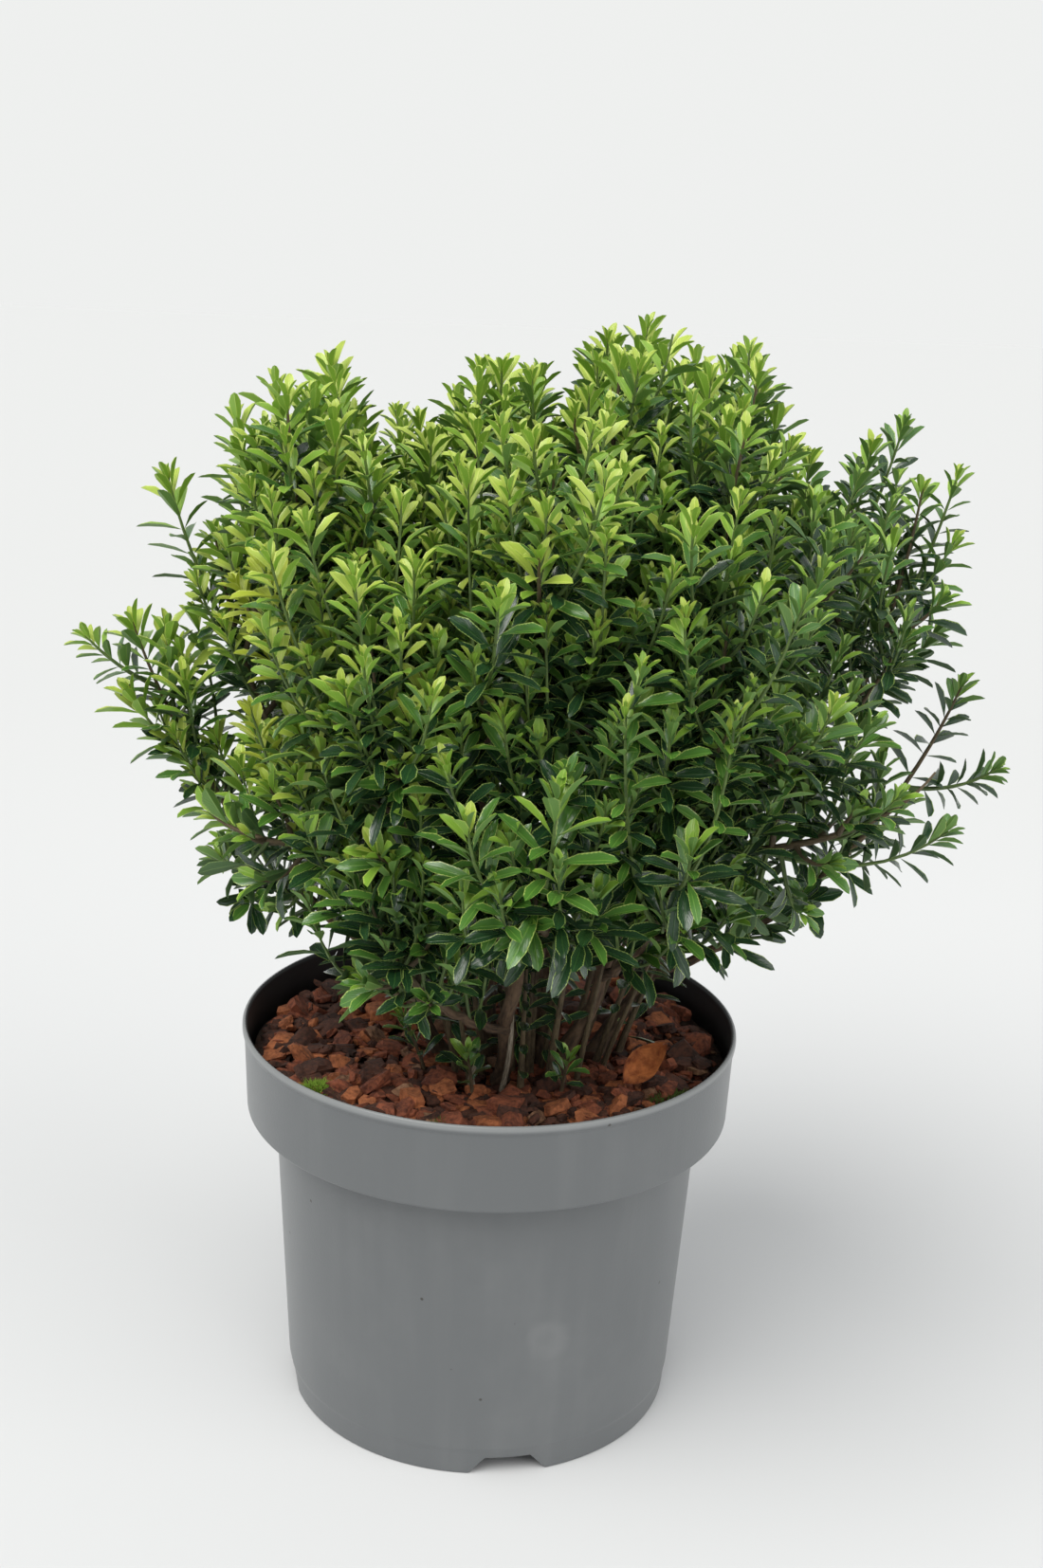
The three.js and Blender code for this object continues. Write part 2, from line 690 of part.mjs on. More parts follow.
const { stems, boughs, masses } = layOut();
const limbs = [
  ...stems.map((stem) => ({ line: stem.curve.getPoints(10), radius: STEM_FOOT_RADIUS })),
  ...boughs.map((bough) => ({ line: bough.curve.getPoints(8), radius: BOUGH_ROOT_RADIUS })),
];
makePot();
makeMulch();
makeStems(stems);
makeBoughs(boughs, stems);
makeFoliage(masses, limbs);

export default model;
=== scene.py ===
import math

import bpy
import numpy as np
from mathutils import Matrix, Vector


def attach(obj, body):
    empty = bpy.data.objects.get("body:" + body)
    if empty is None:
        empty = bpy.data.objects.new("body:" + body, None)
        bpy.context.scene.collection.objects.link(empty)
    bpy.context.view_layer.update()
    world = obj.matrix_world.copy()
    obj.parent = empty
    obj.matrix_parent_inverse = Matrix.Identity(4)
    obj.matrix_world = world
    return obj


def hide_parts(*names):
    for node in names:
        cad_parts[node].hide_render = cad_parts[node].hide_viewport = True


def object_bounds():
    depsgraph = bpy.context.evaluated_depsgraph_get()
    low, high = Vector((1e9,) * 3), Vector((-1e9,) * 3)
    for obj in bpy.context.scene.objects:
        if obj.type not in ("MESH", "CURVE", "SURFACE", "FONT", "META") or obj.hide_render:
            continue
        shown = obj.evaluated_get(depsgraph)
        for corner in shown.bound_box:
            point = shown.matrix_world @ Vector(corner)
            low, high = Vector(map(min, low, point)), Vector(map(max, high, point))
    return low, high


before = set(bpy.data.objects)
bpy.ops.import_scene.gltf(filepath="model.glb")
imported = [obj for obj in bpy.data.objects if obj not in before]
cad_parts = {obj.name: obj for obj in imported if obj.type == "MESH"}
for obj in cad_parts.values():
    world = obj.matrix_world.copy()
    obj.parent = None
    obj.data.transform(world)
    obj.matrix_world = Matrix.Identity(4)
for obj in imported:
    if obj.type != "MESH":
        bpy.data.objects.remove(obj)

# The size of the solids, against which the finished plant is set at the end
solids_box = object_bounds()


# Camera
#
# It stands 0.9 m in front of the pot and 0.59 m up, and looks down by 17 degrees with a slight roll.
# Its place and angles are those that make the pot's rim, band and foot fall where they are seen.

CAMERA_PLACE = (0.02053, -0.90286, 0.58844)
CAMERA_PITCH = 0.2901
CAMERA_YAW = -0.0106
CAMERA_ROLL = 0.0405
CAMERA_LENS = 44.78

ahead = np.array([
    math.sin(CAMERA_YAW) * math.cos(CAMERA_PITCH),
    math.cos(CAMERA_YAW) * math.cos(CAMERA_PITCH),
    -math.sin(CAMERA_PITCH),
])
level = np.cross(ahead, (0, 0, 1))
level /= np.linalg.norm(level)
upright = np.cross(level, ahead)
camera_x = math.cos(CAMERA_ROLL) * level + math.sin(CAMERA_ROLL) * upright
camera_y = math.cos(CAMERA_ROLL) * upright - math.sin(CAMERA_ROLL) * level
turned = np.eye(4)
turned[:3] = np.stack([camera_x, camera_y, -ahead, CAMERA_PLACE], axis=1)

camera_data = bpy.data.cameras.new("camera")
camera_data.lens = CAMERA_LENS
camera_data.sensor_width = 36
camera = bpy.data.objects.new("camera", camera_data)
camera.matrix_world = Matrix(turned.tolist())
bpy.context.scene.collection.objects.link(camera)
bpy.context.scene.camera = camera


# Floor and light
#
# A pale studio floor under an even white sky, which the camera sees as a plain backdrop. Soft light
# falls from above on the left in front, and weaker from the right in front.

bpy.context.scene.view_settings.view_transform = "Standard"

MM = 0.001


def new_piece(name, points, faces, smooth_to=0.7):
    """A mesh object from points in millimetres and faces given as rows of point numbers. It is shaded
    smooth, except over edges where the surface turns by more than smooth_to radians."""
    mesh = bpy.data.meshes.new(name)
    count, corners = faces.shape
    mesh.vertices.add(len(points))
    mesh.vertices.foreach_set("co", (points * MM).astype(np.float32).ravel())
    mesh.loops.add(count * corners)
    mesh.loops.foreach_set("vertex_index", faces.astype(np.int32).ravel())
    mesh.polygons.add(count)
    starts = np.arange(0, count * corners, corners, dtype=np.int32)
    mesh.polygons.foreach_set("loop_start", starts)
    mesh.update(calc_edges=True)
    mesh.set_sharp_from_angle(angle=smooth_to)
    piece = bpy.data.objects.new(name, mesh)
    bpy.context.scene.collection.objects.link(piece)
    return piece


def new_material(name, **plain):
    """A material with plain values on its Principled BSDF, its tree and that shader's inputs."""
    material = bpy.data.materials.new(name)
    material.use_nodes = True
    tree = material.node_tree
    inputs = tree.nodes["Principled BSDF"].inputs
    for label, value in plain.items():
        inputs[label.replace("_", " ")].default_value = value
    return material, tree, inputs


def node(tree, kind, inputs=None, **settings):
    """A shader node with its settings. Each input is given a plain value or linked to a socket."""
    made = tree.nodes.new("ShaderNode" + kind)
    for label, value in settings.items():
        setattr(made, label, value)
    for label, value in (inputs or {}).items():
        if isinstance(value, bpy.types.NodeSocket):
            tree.links.new(value, made.inputs[label])
        else:
            made.inputs[label].default_value = value
    return made


def blend(tree, share, first, second):
    """The colour that goes from first to second as share goes from 0 to 1."""
    return node(tree, "Mix", {0: share, 6: first, 7: second}, data_type="RGBA").outputs[2]


def ramp(tree, value, low, high):
    """0 where value is under low, 1 where it is over high, and smooth between them."""
    made = node(tree, "MapRange", {"Value": value, "From Min": low, "From Max": high},
                interpolation_type="SMOOTHSTEP")
    return made.outputs["Result"]


def noise(tree, place, scale, detail=3, roughness=0.5):
    """Soft noise from 0 to 1, with scale in waves to the unit of place."""
    made = node(tree, "TexNoise", {"Vector": place, "Scale": scale, "Detail": detail,
                                   "Roughness": roughness})
    return made.outputs["Fac"]


def bumped(tree, height, depth):
    """A normal for a surface whose height of 0 to 1 stands for depth in metres."""
    made = node(tree, "Bump", {"Height": height, "Distance": depth, "Strength": 1.0})
    return made.outputs["Normal"]


FLOOR_SIZE = 9000
FLOOR_DROP = 0.1
FLOOR_NEAR = (0.676, 0.683, 0.691, 1)
FLOOR_FAR = (0.6415, 0.649, 0.65, 1)

floor_points = np.array([[-1, -1, 0], [1, -1, 0], [1, 1, 0], [-1, 1, 0]], float) * FLOOR_SIZE
floor_points[:, 2] = -FLOOR_DROP
floor = new_piece("floor", floor_points, np.array([[0, 1, 2, 3]]))
floor_white, tree, inputs = new_material("floor_white", Roughness=0.9, Specular_IOR_Level=0.1)
place = node(tree, "TexCoord").outputs["Object"]
away = node(tree, "VectorMath", {0: place}, operation="LENGTH").outputs["Value"]
shade = blend(tree, ramp(tree, away, 0.2, 1.6), FLOOR_NEAR, FLOOR_FAR)
tree.links.new(shade, inputs["Base Color"])
floor.data.materials.append(floor_white)

world = bpy.data.worlds.new("studio")
bpy.context.scene.world = world
world.use_nodes = True
sky = world.node_tree.nodes["Background"]
sky.inputs["Color"].default_value = (0.97, 0.99, 1, 1)
sky.inputs["Strength"].default_value = 0.59
backdrop = node(world.node_tree, "Background", {"Color": (0.86, 0.87, 0.86, 1), "Strength": 1.0})
seen = node(world.node_tree, "LightPath").outputs["Is Camera Ray"]
either = node(world.node_tree, "MixShader", {0: seen, 1: sky.outputs[0], 2: backdrop.outputs[0]})
world.node_tree.links.new(either.outputs[0], world.node_tree.nodes["World Output"].inputs["Surface"])


def far_lamp(name, place, strength, spread, colour):
    """Light from far off that comes from a patch of sky round the given direction, spread in radians."""
    data = bpy.data.lights.new(name, "SUN")
    data.angle = spread
    data.energy = strength
    data.color = colour
    lamp = bpy.data.objects.new(name, data)
    lamp.rotation_euler = Vector(place).to_track_quat("Z", "Y").to_euler()
    bpy.context.scene.collection.objects.link(lamp)


far_lamp("overhead", (-0.38, -0.5, 1), 2.35, 0.85, (1, 0.985, 0.95))
far_lamp("window", (0.9, -0.6, 0.7), 0.85, 0.9, (1, 0.985, 0.96))


# Pot
#
# A 7 litre nursery pot, moulded in one piece from polypropylene: grey outside and black inside. It
# has a deep band below its rolled lip, a ring foot with four notches, and a raised floor with
# drain holes.

RIM_RADIUS = 123
FOOT_RADIUS = 97
FOOT_RING_FROM = 92
FLOOR_UNDER = 10
POT_COLUMNS = 240
NOTCH_TOP = 22
NOTCH_FOOT = 42
NOTCH_HEIGHT = 9
NOTCH_SINK = 2
NOTCH_CORNER = 3
NOTCH_ROUND = 0.002
FIRST_NOTCH = math.radians(-79)
DRAIN_RING = 72
DRAIN_SECTION = np.array([[0, 6], [6, 6], [6, 16], [0, 16]], float)
INSIDE_HEIGHTS = [11, 154, 155, 195.6]
INSIDE_RADII = [94, 103, 119, 121.4]

# The wall's section from the middle of the underside, round the outside and down the inside:
# radius, height and how far each corner is rounded
POT_SECTION = np.array([
    [0, 10, 0], [38, 10, 0], [42, 0.4, 1], [43.5, 0.4, 0.6], [46, 10, 2],
    [92.2, 10, 1.5], [93.2, 0.8, 0.8], [94, 0, 0.3], [96.6, 0, 0.3], [97.2, 0.8, 0.6],
    [98.3, 12.6, 1.2], [98.9, 14.5, 1.2], [106.4, 151.6, 1.2], [108, 153, 1], [119.6, 153, 0.8],
    [120.5, 154, 0.8], [121.9, 192.2, 0.8], [122.9, 193.4, 0.8], [123, 196, 1], [122.2, 197, 0.8],
    [121.2, 197, 0.6], [120.4, 196, 1], [118.5, 155, 1.5], [104.5, 155, 1.5], [95.5, 12, 3],
    [0, 12, 0],
])


def rounded(section, steps=3):
    """Each corner B of the section becomes a quadratic curve from B + d (A - B) to B + d (C - B), where
    A and C are its neighbours and d is the rounding as a share of each side, at most 0.45."""
    line = [section[:1, :2]]
    for before, corner, after in zip(section[:-2], section[1:-1], section[2:]):
        to_before = before[:2] - corner[:2]
        to_after = after[:2] - corner[:2]
        start = corner[:2] + to_before * min(0.45, corner[2] / np.linalg.norm(to_before))
        end = corner[:2] + to_after * min(0.45, corner[2] / np.linalg.norm(to_after))
        t = np.linspace(0, 1, steps)[:, None]
        line.append((1 - t) ** 2 * start + 2 * t * (1 - t) * corner[:2] + t ** 2 * end)
    line.append(section[-1:, :2])
    return np.concatenate(line)


def full_turn(count):
    """Equally spaced angles round a full turn."""
    return np.linspace(0, 2 * math.pi, count, endpoint=False)


def polar(radius, angle, height=0):
    """Points at a distance from the axis, an angle and a height."""
    x = radius * np.cos(angle)
    return np.stack(np.broadcast_arrays(x, radius * np.sin(angle), height), axis=-1)


def closed_faces(rings, columns):
    """Triangles between rings of points that run round counter-clockwise, one ring above the other,
    closed at each end by a point that is numbered after them. They face outwards."""
    i, j = np.meshgrid(np.arange(rings - 1), np.arange(columns), indexing="ij")
    a = (i * columns + j).ravel()
    b = (i * columns + (j + 1) % columns).ravel()
    lower = np.stack([a, b, b + columns], axis=1)
    upper = np.stack([a, b + columns, a + columns], axis=1)
    j = np.arange(columns)
    after = (j + 1) % columns
    last = (rings - 1) * columns
    foot = np.stack([np.full(columns, rings * columns), after, j], axis=1)
    top = np.stack([np.full(columns, rings * columns + 1), last + j, last + after], axis=1)
    return np.concatenate([lower, upper, foot, top])


def copied(faces, count, points):
    """The faces of count bodies, each with so many points, from those of one."""
    return (np.arange(count)[:, None, None] * points + faces).reshape(-1, 3)


def turned_solid(section, angles):
    """The section turned about Z, closed by a point on the axis at each end: the point (r, z) at angle
    a stands at (r cos a, r sin a, z)."""
    rings = section[1:-1]
    wall = polar(rings[:, :1], angles, rings[:, 1:2]).reshape(-1, 3)
    poles = [[0, 0, section[0, 1]], [0, 0, section[-1, 1]]]
    return np.concatenate([wall, poles]), closed_faces(len(rings), len(angles))


quarter_turns = FIRST_NOTCH + np.arange(4) * math.pi / 2
notch_edges = np.array([NOTCH_TOP, NOTCH_FOOT - NOTCH_CORNER]) / 2 / FOOT_RADIUS
notch_edges = np.concatenate([notch_edges - NOTCH_ROUND, notch_edges + NOTCH_ROUND])
notch_edges = np.concatenate([notch_edges, -notch_edges])
corner_angles = (quarter_turns[:, None] + notch_edges).ravel() % (2 * math.pi)
pot_angles = np.unique(np.concatenate([full_turn(POT_COLUMNS), corner_angles]))
pot_points, pot_faces = turned_solid(rounded(POT_SECTION), pot_angles)

# The notches: within their slanted sides the foot's points move up, in proportion to how low they
# are, until the lowest stand at the notch's top
angle = np.arctan2(pot_points[:, 1], pot_points[:, 0])
aside = (angle - FIRST_NOTCH + math.pi / 4) % (math.pi / 2) - math.pi / 4
aside = np.abs(aside) * FOOT_RADIUS
slope = (NOTCH_FOOT - NOTCH_TOP) / 2 / (NOTCH_HEIGHT + NOTCH_SINK)
lift = np.clip((NOTCH_FOOT / 2 - aside) / slope - NOTCH_SINK, 0, NOTCH_HEIGHT)
radius = np.hypot(pot_points[:, 0], pot_points[:, 1])
low = (radius > FOOT_RING_FROM) & (pot_points[:, 2] < FLOOR_UNDER) & (pot_points[:, 2] >= 0)
pot_points[low, 2] = (lift + pot_points[:, 2] * (1 - lift / FLOOR_UNDER))[low]

pot = new_piece("pot_shell", pot_points, pot_faces, 0.5)

drill_points, drill_faces = turned_solid(DRAIN_SECTION, full_turn(24))
all_points = (polar(DRAIN_RING, quarter_turns)[:, None] + drill_points).reshape(-1, 3)
drills = new_piece("drills", all_points, copied(drill_faces, 4, len(drill_points)))


def cut_away(piece, cutter):
    """The piece with the cutter's volume taken off, and the cutter removed."""
    cut = piece.modifiers.new("cut", "BOOLEAN")
    cut.operation = "DIFFERENCE"
    cut.solver = "EXACT"
    cut.object = cutter
    ready = piece.evaluated_get(bpy.context.evaluated_depsgraph_get())
    mesh = bpy.data.meshes.new_from_object(ready)
    piece.modifiers.clear()
    piece.data = mesh
    bpy.data.objects.remove(cutter)


cut_away(pot, drills)


def new_group(name, inputs, outputs):
    """A shader node group with named sockets: the group, its inputs inside it and its result's inputs.
    An input's kind follows from its value, and a result's from its name."""
    group = bpy.data.node_groups.new(name, "ShaderNodeTree")
    for label, value in inputs.items():
        kind = {1: "Float", 3: "Vector", 4: "Color"}[np.size(value)]
        socket = group.interface.new_socket(label, in_out="INPUT", socket_type="NodeSocket" + kind)
        socket.default_value = value
    for label in outputs:
        kind = "Color" if label == "Color" else "Float"
        group.interface.new_socket(label, in_out="OUTPUT", socket_type="NodeSocket" + kind)
    given = group.nodes.new("NodeGroupInput").outputs
    result = group.nodes.new("NodeGroupOutput").inputs
    return group, given, result


def reckon(tree, operation, *values):
    """The result of a Math node on plain values or sockets."""
    return node(tree, "Math", dict(enumerate(values)), operation=operation).outputs[0]


def times(tree, product, *factors):
    """The product of plain values or sockets."""
    for factor in factors:
        product = reckon(tree, "MULTIPLY", product, factor)
    return product


def dress(tree, inputs, group, values, depth):
    """Gives a shader the colour, the roughness and the height, depth metres deep, of a node group."""
    made = node(tree, "Group", values, node_tree=group).outputs
    tree.links.new(made["Color"], inputs["Base Color"])
    if "Roughness" in made:
        tree.links.new(made["Roughness"], inputs["Roughness"])
    tree.links.new(bumped(tree, made["Height"], depth), inputs["Normal"])


def paint(piece, looks, which=None):
    """Gives the mesh its materials, and each face the number of its own."""
    piece.data.materials.clear()
    for look in looks:
        piece.data.materials.append(look)
    if which is not None:
        piece.data.polygons.foreach_set("material_index", which.ravel().astype(np.int32))


# Plastic that has stood outside: a faint orange-peel grain, dried water marks in soft patches and
# streaks, dust in clouds, a few specks of soil and a paler lip, which is partly wear and partly a
# painted highlight along the rim
nursery_wear, given, result = new_group("nursery_wear", {
    "Plastic": (0.2, 0.2, 0.2, 1), "Dust": (0.3, 0.3, 0.3, 1), "Marks": 1.0, "Gloss": 0.4, "Lip_wear_and_highlight": 0.0,
}, ["Color", "Roughness", "Height"])
tree = nursery_wear
place = node(tree, "TexCoord").outputs["Object"]
clouds = noise(tree, place, 14, 4, 0.6)
runs = noise(tree, node(tree, "Mapping", {"Vector": place, "Scale": (60, 60, 6)}).outputs[0], 1, 3)
warp = node(tree, "TexNoise", {"Vector": place, "Scale": 60.0, "Detail": 2.0}).outputs["Color"]
wobbly = node(tree, "VectorMath", {0: warp, 1: (0.012, 0.012, 0.012), 2: place},
              operation="MULTIPLY_ADD").outputs[0]
cells = node(tree, "TexVoronoi", {"Vector": wobbly, "Scale": 17.0}).outputs
chosen = node(tree, "SeparateColor", {"Color": cells["Color"]}).outputs["Red"]
inside = ramp(tree, cells["Distance"], 0.24, 0.14)
ring = times(tree, inside, ramp(tree, cells["Distance"], 0.08, 0.16), 0.3)
patch = reckon(tree, "MULTIPLY_ADD", inside, 0.25, ring)
spots = times(tree, patch, ramp(tree, chosen, 0.62, 0.64), given["Marks"])
dusty = reckon(tree, "MULTIPLY_ADD", ramp(tree, clouds, 0.45, 0.8), 0.3, spots)
streaky = reckon(tree, "MULTIPLY_ADD", ramp(tree, runs, 0.45, 0.8), 0.2, dusty)
dust = times(tree, streaky, 0.55)
plain = blend(tree, dust, given["Plastic"], given["Dust"])
grit = node(tree, "TexVoronoi", {"Vector": place, "Scale": 120.0}).outputs
grit_chosen = node(tree, "SeparateColor", {"Color": grit["Color"]}).outputs["Green"]
soil = times(tree, ramp(tree, grit_chosen, 0.965, 0.97), ramp(tree, grit["Distance"], 0.12, 0.07), 0.75)
height = node(tree, "SeparateXYZ", {"Vector": place}).outputs["Z"]
# Painted highlight together with wear: the band along the top of the lip is made paler
lip_wear_and_highlight = times(tree, ramp(tree, height, 0.1935, 0.1955), given["Lip_wear_and_highlight"])
paler = blend(tree, lip_wear_and_highlight, plain, (0.4, 0.41, 0.41, 1))
tree.links.new(blend(tree, soil, paler, (0.035, 0.028, 0.02, 1)), result["Color"])
tree.links.new(reckon(tree, "MULTIPLY_ADD", dust, 0.3, given["Gloss"]), result["Roughness"])
tree.links.new(reckon(tree, "MULTIPLY_ADD", soil, 2.0, noise(tree, place, 900, 2)), result["Height"])

# Only the grey outside has the paler lip, a painted highlight together with wear
plastics = [
    ("pot_grey", {"Plastic": (0.136, 0.144, 0.149, 1), "Dust": (0.27, 0.275, 0.275, 1), "Marks": 0.6,
                  "Gloss": 0.31, "Lip_wear_and_highlight": 0.4}),
    ("pot_black", {"Plastic": (0.012, 0.012, 0.013, 1), "Dust": (0.05, 0.04, 0.032, 1), "Marks": 0.4,
                   "Gloss": 0.5}),
]
pot_looks = []
for label, values in plastics:
    material, tree, inputs = new_material(label, IOR=1.49)
    dress(tree, inputs, nursery_wear, values, 0.00006)
    pot_looks.append(material)

centres = np.zeros(len(pot.data.polygons) * 3, np.float32)
pot.data.polygons.foreach_get("center", centres)
centres = centres.reshape(-1, 3) / MM
wall_inside = np.interp(centres[:, 2], INSIDE_HEIGHTS, INSIDE_RADII)
black = (centres[:, 2] > INSIDE_HEIGHTS[0]) & (np.hypot(centres[:, 0], centres[:, 1]) < wall_inside)
paint(pot, pot_looks, black)
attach(pot, "root")
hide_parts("pot")


# Mulch
#
# Dark compost fills the pot to just below its lip, under a layer of chipped pine bark. The chips
# are angular, red-brown, up to 20 mm long and lie on each other at all angles.

SEED = 5
MULCH_LEVEL = 184
STOOL_X = 14
STOOL_Y = -16
BED_RADIUS = 117.4
BED_TOP = 180
COMPOST_BELOW = 3.4
BED_SECTION = np.array([
    [0, 12.4], [94.2, 12.4], [95.2, 14], [103.8, 150], [103.8, 155.4], [117.2, 155.4], [117.4, 176],
])
CHIPS = 2300
CHIP_RINGS = 4
CHIP_SIDES = 6

dice = np.random.default_rng(SEED)


def bed_height(x, y):
    """The compost's height: 181 mm, with shallow waves of up to 2 mm, and 3 mm lower at the wall."""
    waves = np.sin(x / 19 + 1.3) * np.cos(y / 23) + 0.6 * np.sin((x + y) / 11 + 2) * np.cos(x / 31)
    edge = np.clip((np.hypot(x, y) - 100) / 18, 0, 1)
    return MULCH_LEVEL - COMPOST_BELOW + 1.3 * waves - 3 * edge


bed_radii = np.linspace(BED_RADIUS, 4, 30)
bed_top = np.stack([bed_radii, np.full(30, BED_TOP)], axis=1)
bed_line = np.concatenate([BED_SECTION, bed_top, [[0, BED_TOP]]])
bed_points, bed_faces = turned_solid(bed_line, full_turn(96))
top = bed_points[:, 2] > BED_TOP - 2
bed_points[top, 2] = bed_height(bed_points[top, 0], bed_points[top, 1])
bed = new_piece("compost_bed", bed_points, bed_faces)

# A chip is a squared-off ball: on a grid of angles its corner (u, v) stands at the signed 0.6th
# powers of (cos u cos v, cos u sin v, sin u), each pushed in or out by chance
u = np.linspace(-math.pi / 2, math.pi / 2, CHIP_RINGS + 2)[1:-1, None]
ball = polar(np.cos(u), full_turn(CHIP_SIDES), np.sin(u))
ball = np.sign(ball) * np.abs(ball) ** 0.6
ball = np.concatenate([ball.reshape(-1, 3), [[0, 0, -0.95], [0, 0, 0.95]]])


def turn_matrices(yaw, pitch, roll):
    """Rotations by roll about X, then pitch about Y, then yaw about Z, one for each row."""
    cy, cp, cr = np.cos(yaw), np.cos(pitch), np.cos(roll)
    sy, sp, sr = np.sin(yaw), np.sin(pitch), np.sin(roll)
    rows = [
        [cy * cp, cy * sp * sr - sy * cr, cy * sp * cr + sy * sr],
        [sy * cp, sy * sp * sr + cy * cr, sy * sp * cr - cy * sr],
        [-sp, cp * sr, cp * cr],
    ]
    return np.array(rows).transpose(2, 0, 1)


half_length = np.clip(dice.lognormal(1.35, 0.5, CHIPS), 1.6, 10)
size = np.stack([half_length, half_length * dice.uniform(0.5, 0.85, CHIPS),
                 half_length * dice.uniform(0.22, 0.5, CHIPS)], axis=1)
rough_ball = ball * (1 + 0.2 * dice.uniform(-1, 1, (CHIPS, len(ball), 1)))
rough_ball = rough_ball + 0.1 * dice.uniform(-1, 1, rough_ball.shape)
lying = turn_matrices(dice.uniform(0, 2 * math.pi, CHIPS), dice.normal(0, 0.32, CHIPS),
                      dice.normal(0, 0.32, CHIPS))
chip_points = np.einsum("nij,nkj->nki", lying, rough_ball * size[:, None])
spread = (BED_RADIUS - 1.5 - half_length) * np.sqrt(dice.uniform(0, 1, CHIPS))
places = polar(spread, dice.uniform(0, 2 * math.pi, CHIPS))
places[:, 2] = bed_height(places[:, 0], places[:, 1]) + dice.uniform(0, 1, CHIPS) ** 1.4 * 5.5
places[:, 2] += size[:, 2] * 0.3
chip_points += places[:, None]
reach = np.hypot(chip_points[..., 0], chip_points[..., 1])
chip_points[..., :2] *= np.minimum(1, BED_RADIUS / np.maximum(reach, 1))[..., None]
chip_faces = copied(closed_faces(CHIP_RINGS, CHIP_SIDES), CHIPS, len(ball))
chips = new_piece("bark_chips", chip_points.reshape(-1, 3), chip_faces, 0.45)

# Weathered wood: bands of dark and light fibre, blotches, and fine fissures that are also its height
woody, given, result = new_group("woody", {
    "Place": (0, 0, 0), "Dark": (0.05, 0.03, 0.02, 1), "Light": (0.3, 0.2, 0.1, 1), "Fibre": 400.0,
    "Blotch": 60.0,
}, ["Color", "Height"])
tree = woody
fibre = noise(tree, given["Place"], 1, 4, 0.65)
blotch = noise(tree, given["Place"], 1, 3, 0.5)
tree.links.new(given["Fibre"], fibre.node.inputs["Scale"])
tree.links.new(given["Blotch"], blotch.node.inputs["Scale"])
both = reckon(tree, "MULTIPLY_ADD", blotch, 0.4, times(tree, fibre, 0.6))
mixed = blend(tree, ramp(tree, both, 0.33, 0.66), given["Dark"], given["Light"])
tree.links.new(mixed, result["Color"])
tree.links.new(fibre, result["Height"])


def woody_material(name, dark, light, fibre, blotch, depth, stretch=None, roughness=0.85):
    """Wood, bark or compost in two shades, with depth in metres. stretch scales the piece's UV map, so
    that fibres run along a limb, and without it the pattern lies in the piece's own space."""
    material, tree, inputs = new_material(name, Roughness=roughness)
    place = node(tree, "TexCoord").outputs["UV" if stretch else "Object"]
    if stretch:
        place = node(tree, "Mapping", {"Vector": place, "Scale": stretch}).outputs[0]
    dress(tree, inputs, woody, {"Place": place, "Dark": (*dark, 1), "Light": (*light, 1), "Fibre": fibre,
                                "Blotch": blotch}, depth)
    return material


paint(bed, [woody_material("compost", (0.012, 0.007, 0.005), (0.07, 0.03, 0.017), 300.0, 70.0, 0.002)])
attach(bed, "root")
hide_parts("mulch_bed")

chip_looks = [
    ("chip_red", (0.07, 0.018, 0.009), (0.3, 0.085, 0.038)),
    ("chip_orange", (0.14, 0.04, 0.014), (0.46, 0.15, 0.055)),
    ("chip_brown", (0.02, 0.008, 0.005), (0.1, 0.034, 0.018)),
    ("chip_tan", (0.09, 0.04, 0.02), (0.34, 0.18, 0.1)),
]
chip_looks = [woody_material(*look, 420.0, 90.0, 0.0008) for look in chip_looks]
kind = np.searchsorted([0.42, 0.6, 0.95], dice.uniform(0, 1, CHIPS))
kind[(half_length < 3.6) & (kind != 2) & (dice.uniform(0, 1, CHIPS) < 0.6)] = 2
paint(chips, chip_looks, np.repeat(kind, len(chip_faces) // CHIPS))
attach(chips, "root")


# Moss and a dry leaf
#
# Three cushions of moss, made up of short pointed leaflets, grow on the chips near the rim. A curled
# brown leaf lies on the chips at the right.

# Each cushion's place in x and y, its radius and how high it rises
CUSHIONS = [(-78, -68, 8, 3.5), (89, -62, 11, 2.8), (-18, -99, 6, 1.6)]
LEAFLETS = 460

moss_points = []
for x, y, radius, rise in CUSHIONS:
    away = np.sqrt(dice.uniform(0, 1, LEAFLETS))
    turn = dice.uniform(0, 2 * math.pi, LEAFLETS)
    root = polar(radius * away, turn, bed_height(x, y) + 4 + rise * (1 - away ** 2)) + (x, y, 0)
    out = polar(away, turn, 0.9)
    out += dice.normal(0, 0.35, (LEAFLETS, 3))
    spokes = dice.uniform(0, 2 * math.pi, (LEAFLETS, 1)) + np.arange(3) * 2 * math.pi / 3
    corners = np.stack([np.cos(spokes), np.sin(spokes), 0 * spokes], axis=2) * 0.42
    tip = root + out * dice.uniform(1.2, 2.6, (LEAFLETS, 1))
    moss_points.append(np.concatenate([root[:, None] + corners, tip[:, None]], axis=1))
moss_points = np.concatenate(moss_points)
leaflet_faces = np.array([[0, 1, 3], [1, 2, 3], [2, 0, 3], [2, 1, 0]])
moss = new_piece("moss", moss_points.reshape(-1, 3), copied(leaflet_faces, len(moss_points), 4), 0.3)
moss_looks = [
    new_material("moss_bright", Base_Color=(0.2, 0.33, 0.03, 1), Roughness=0.8)[0],
    new_material("moss_dark", Base_Color=(0.075, 0.12, 0.018, 1), Roughness=0.85)[0],
]
paint(moss, moss_looks, np.repeat([0, 1, 1], LEAFLETS * 4))
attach(moss, "root")

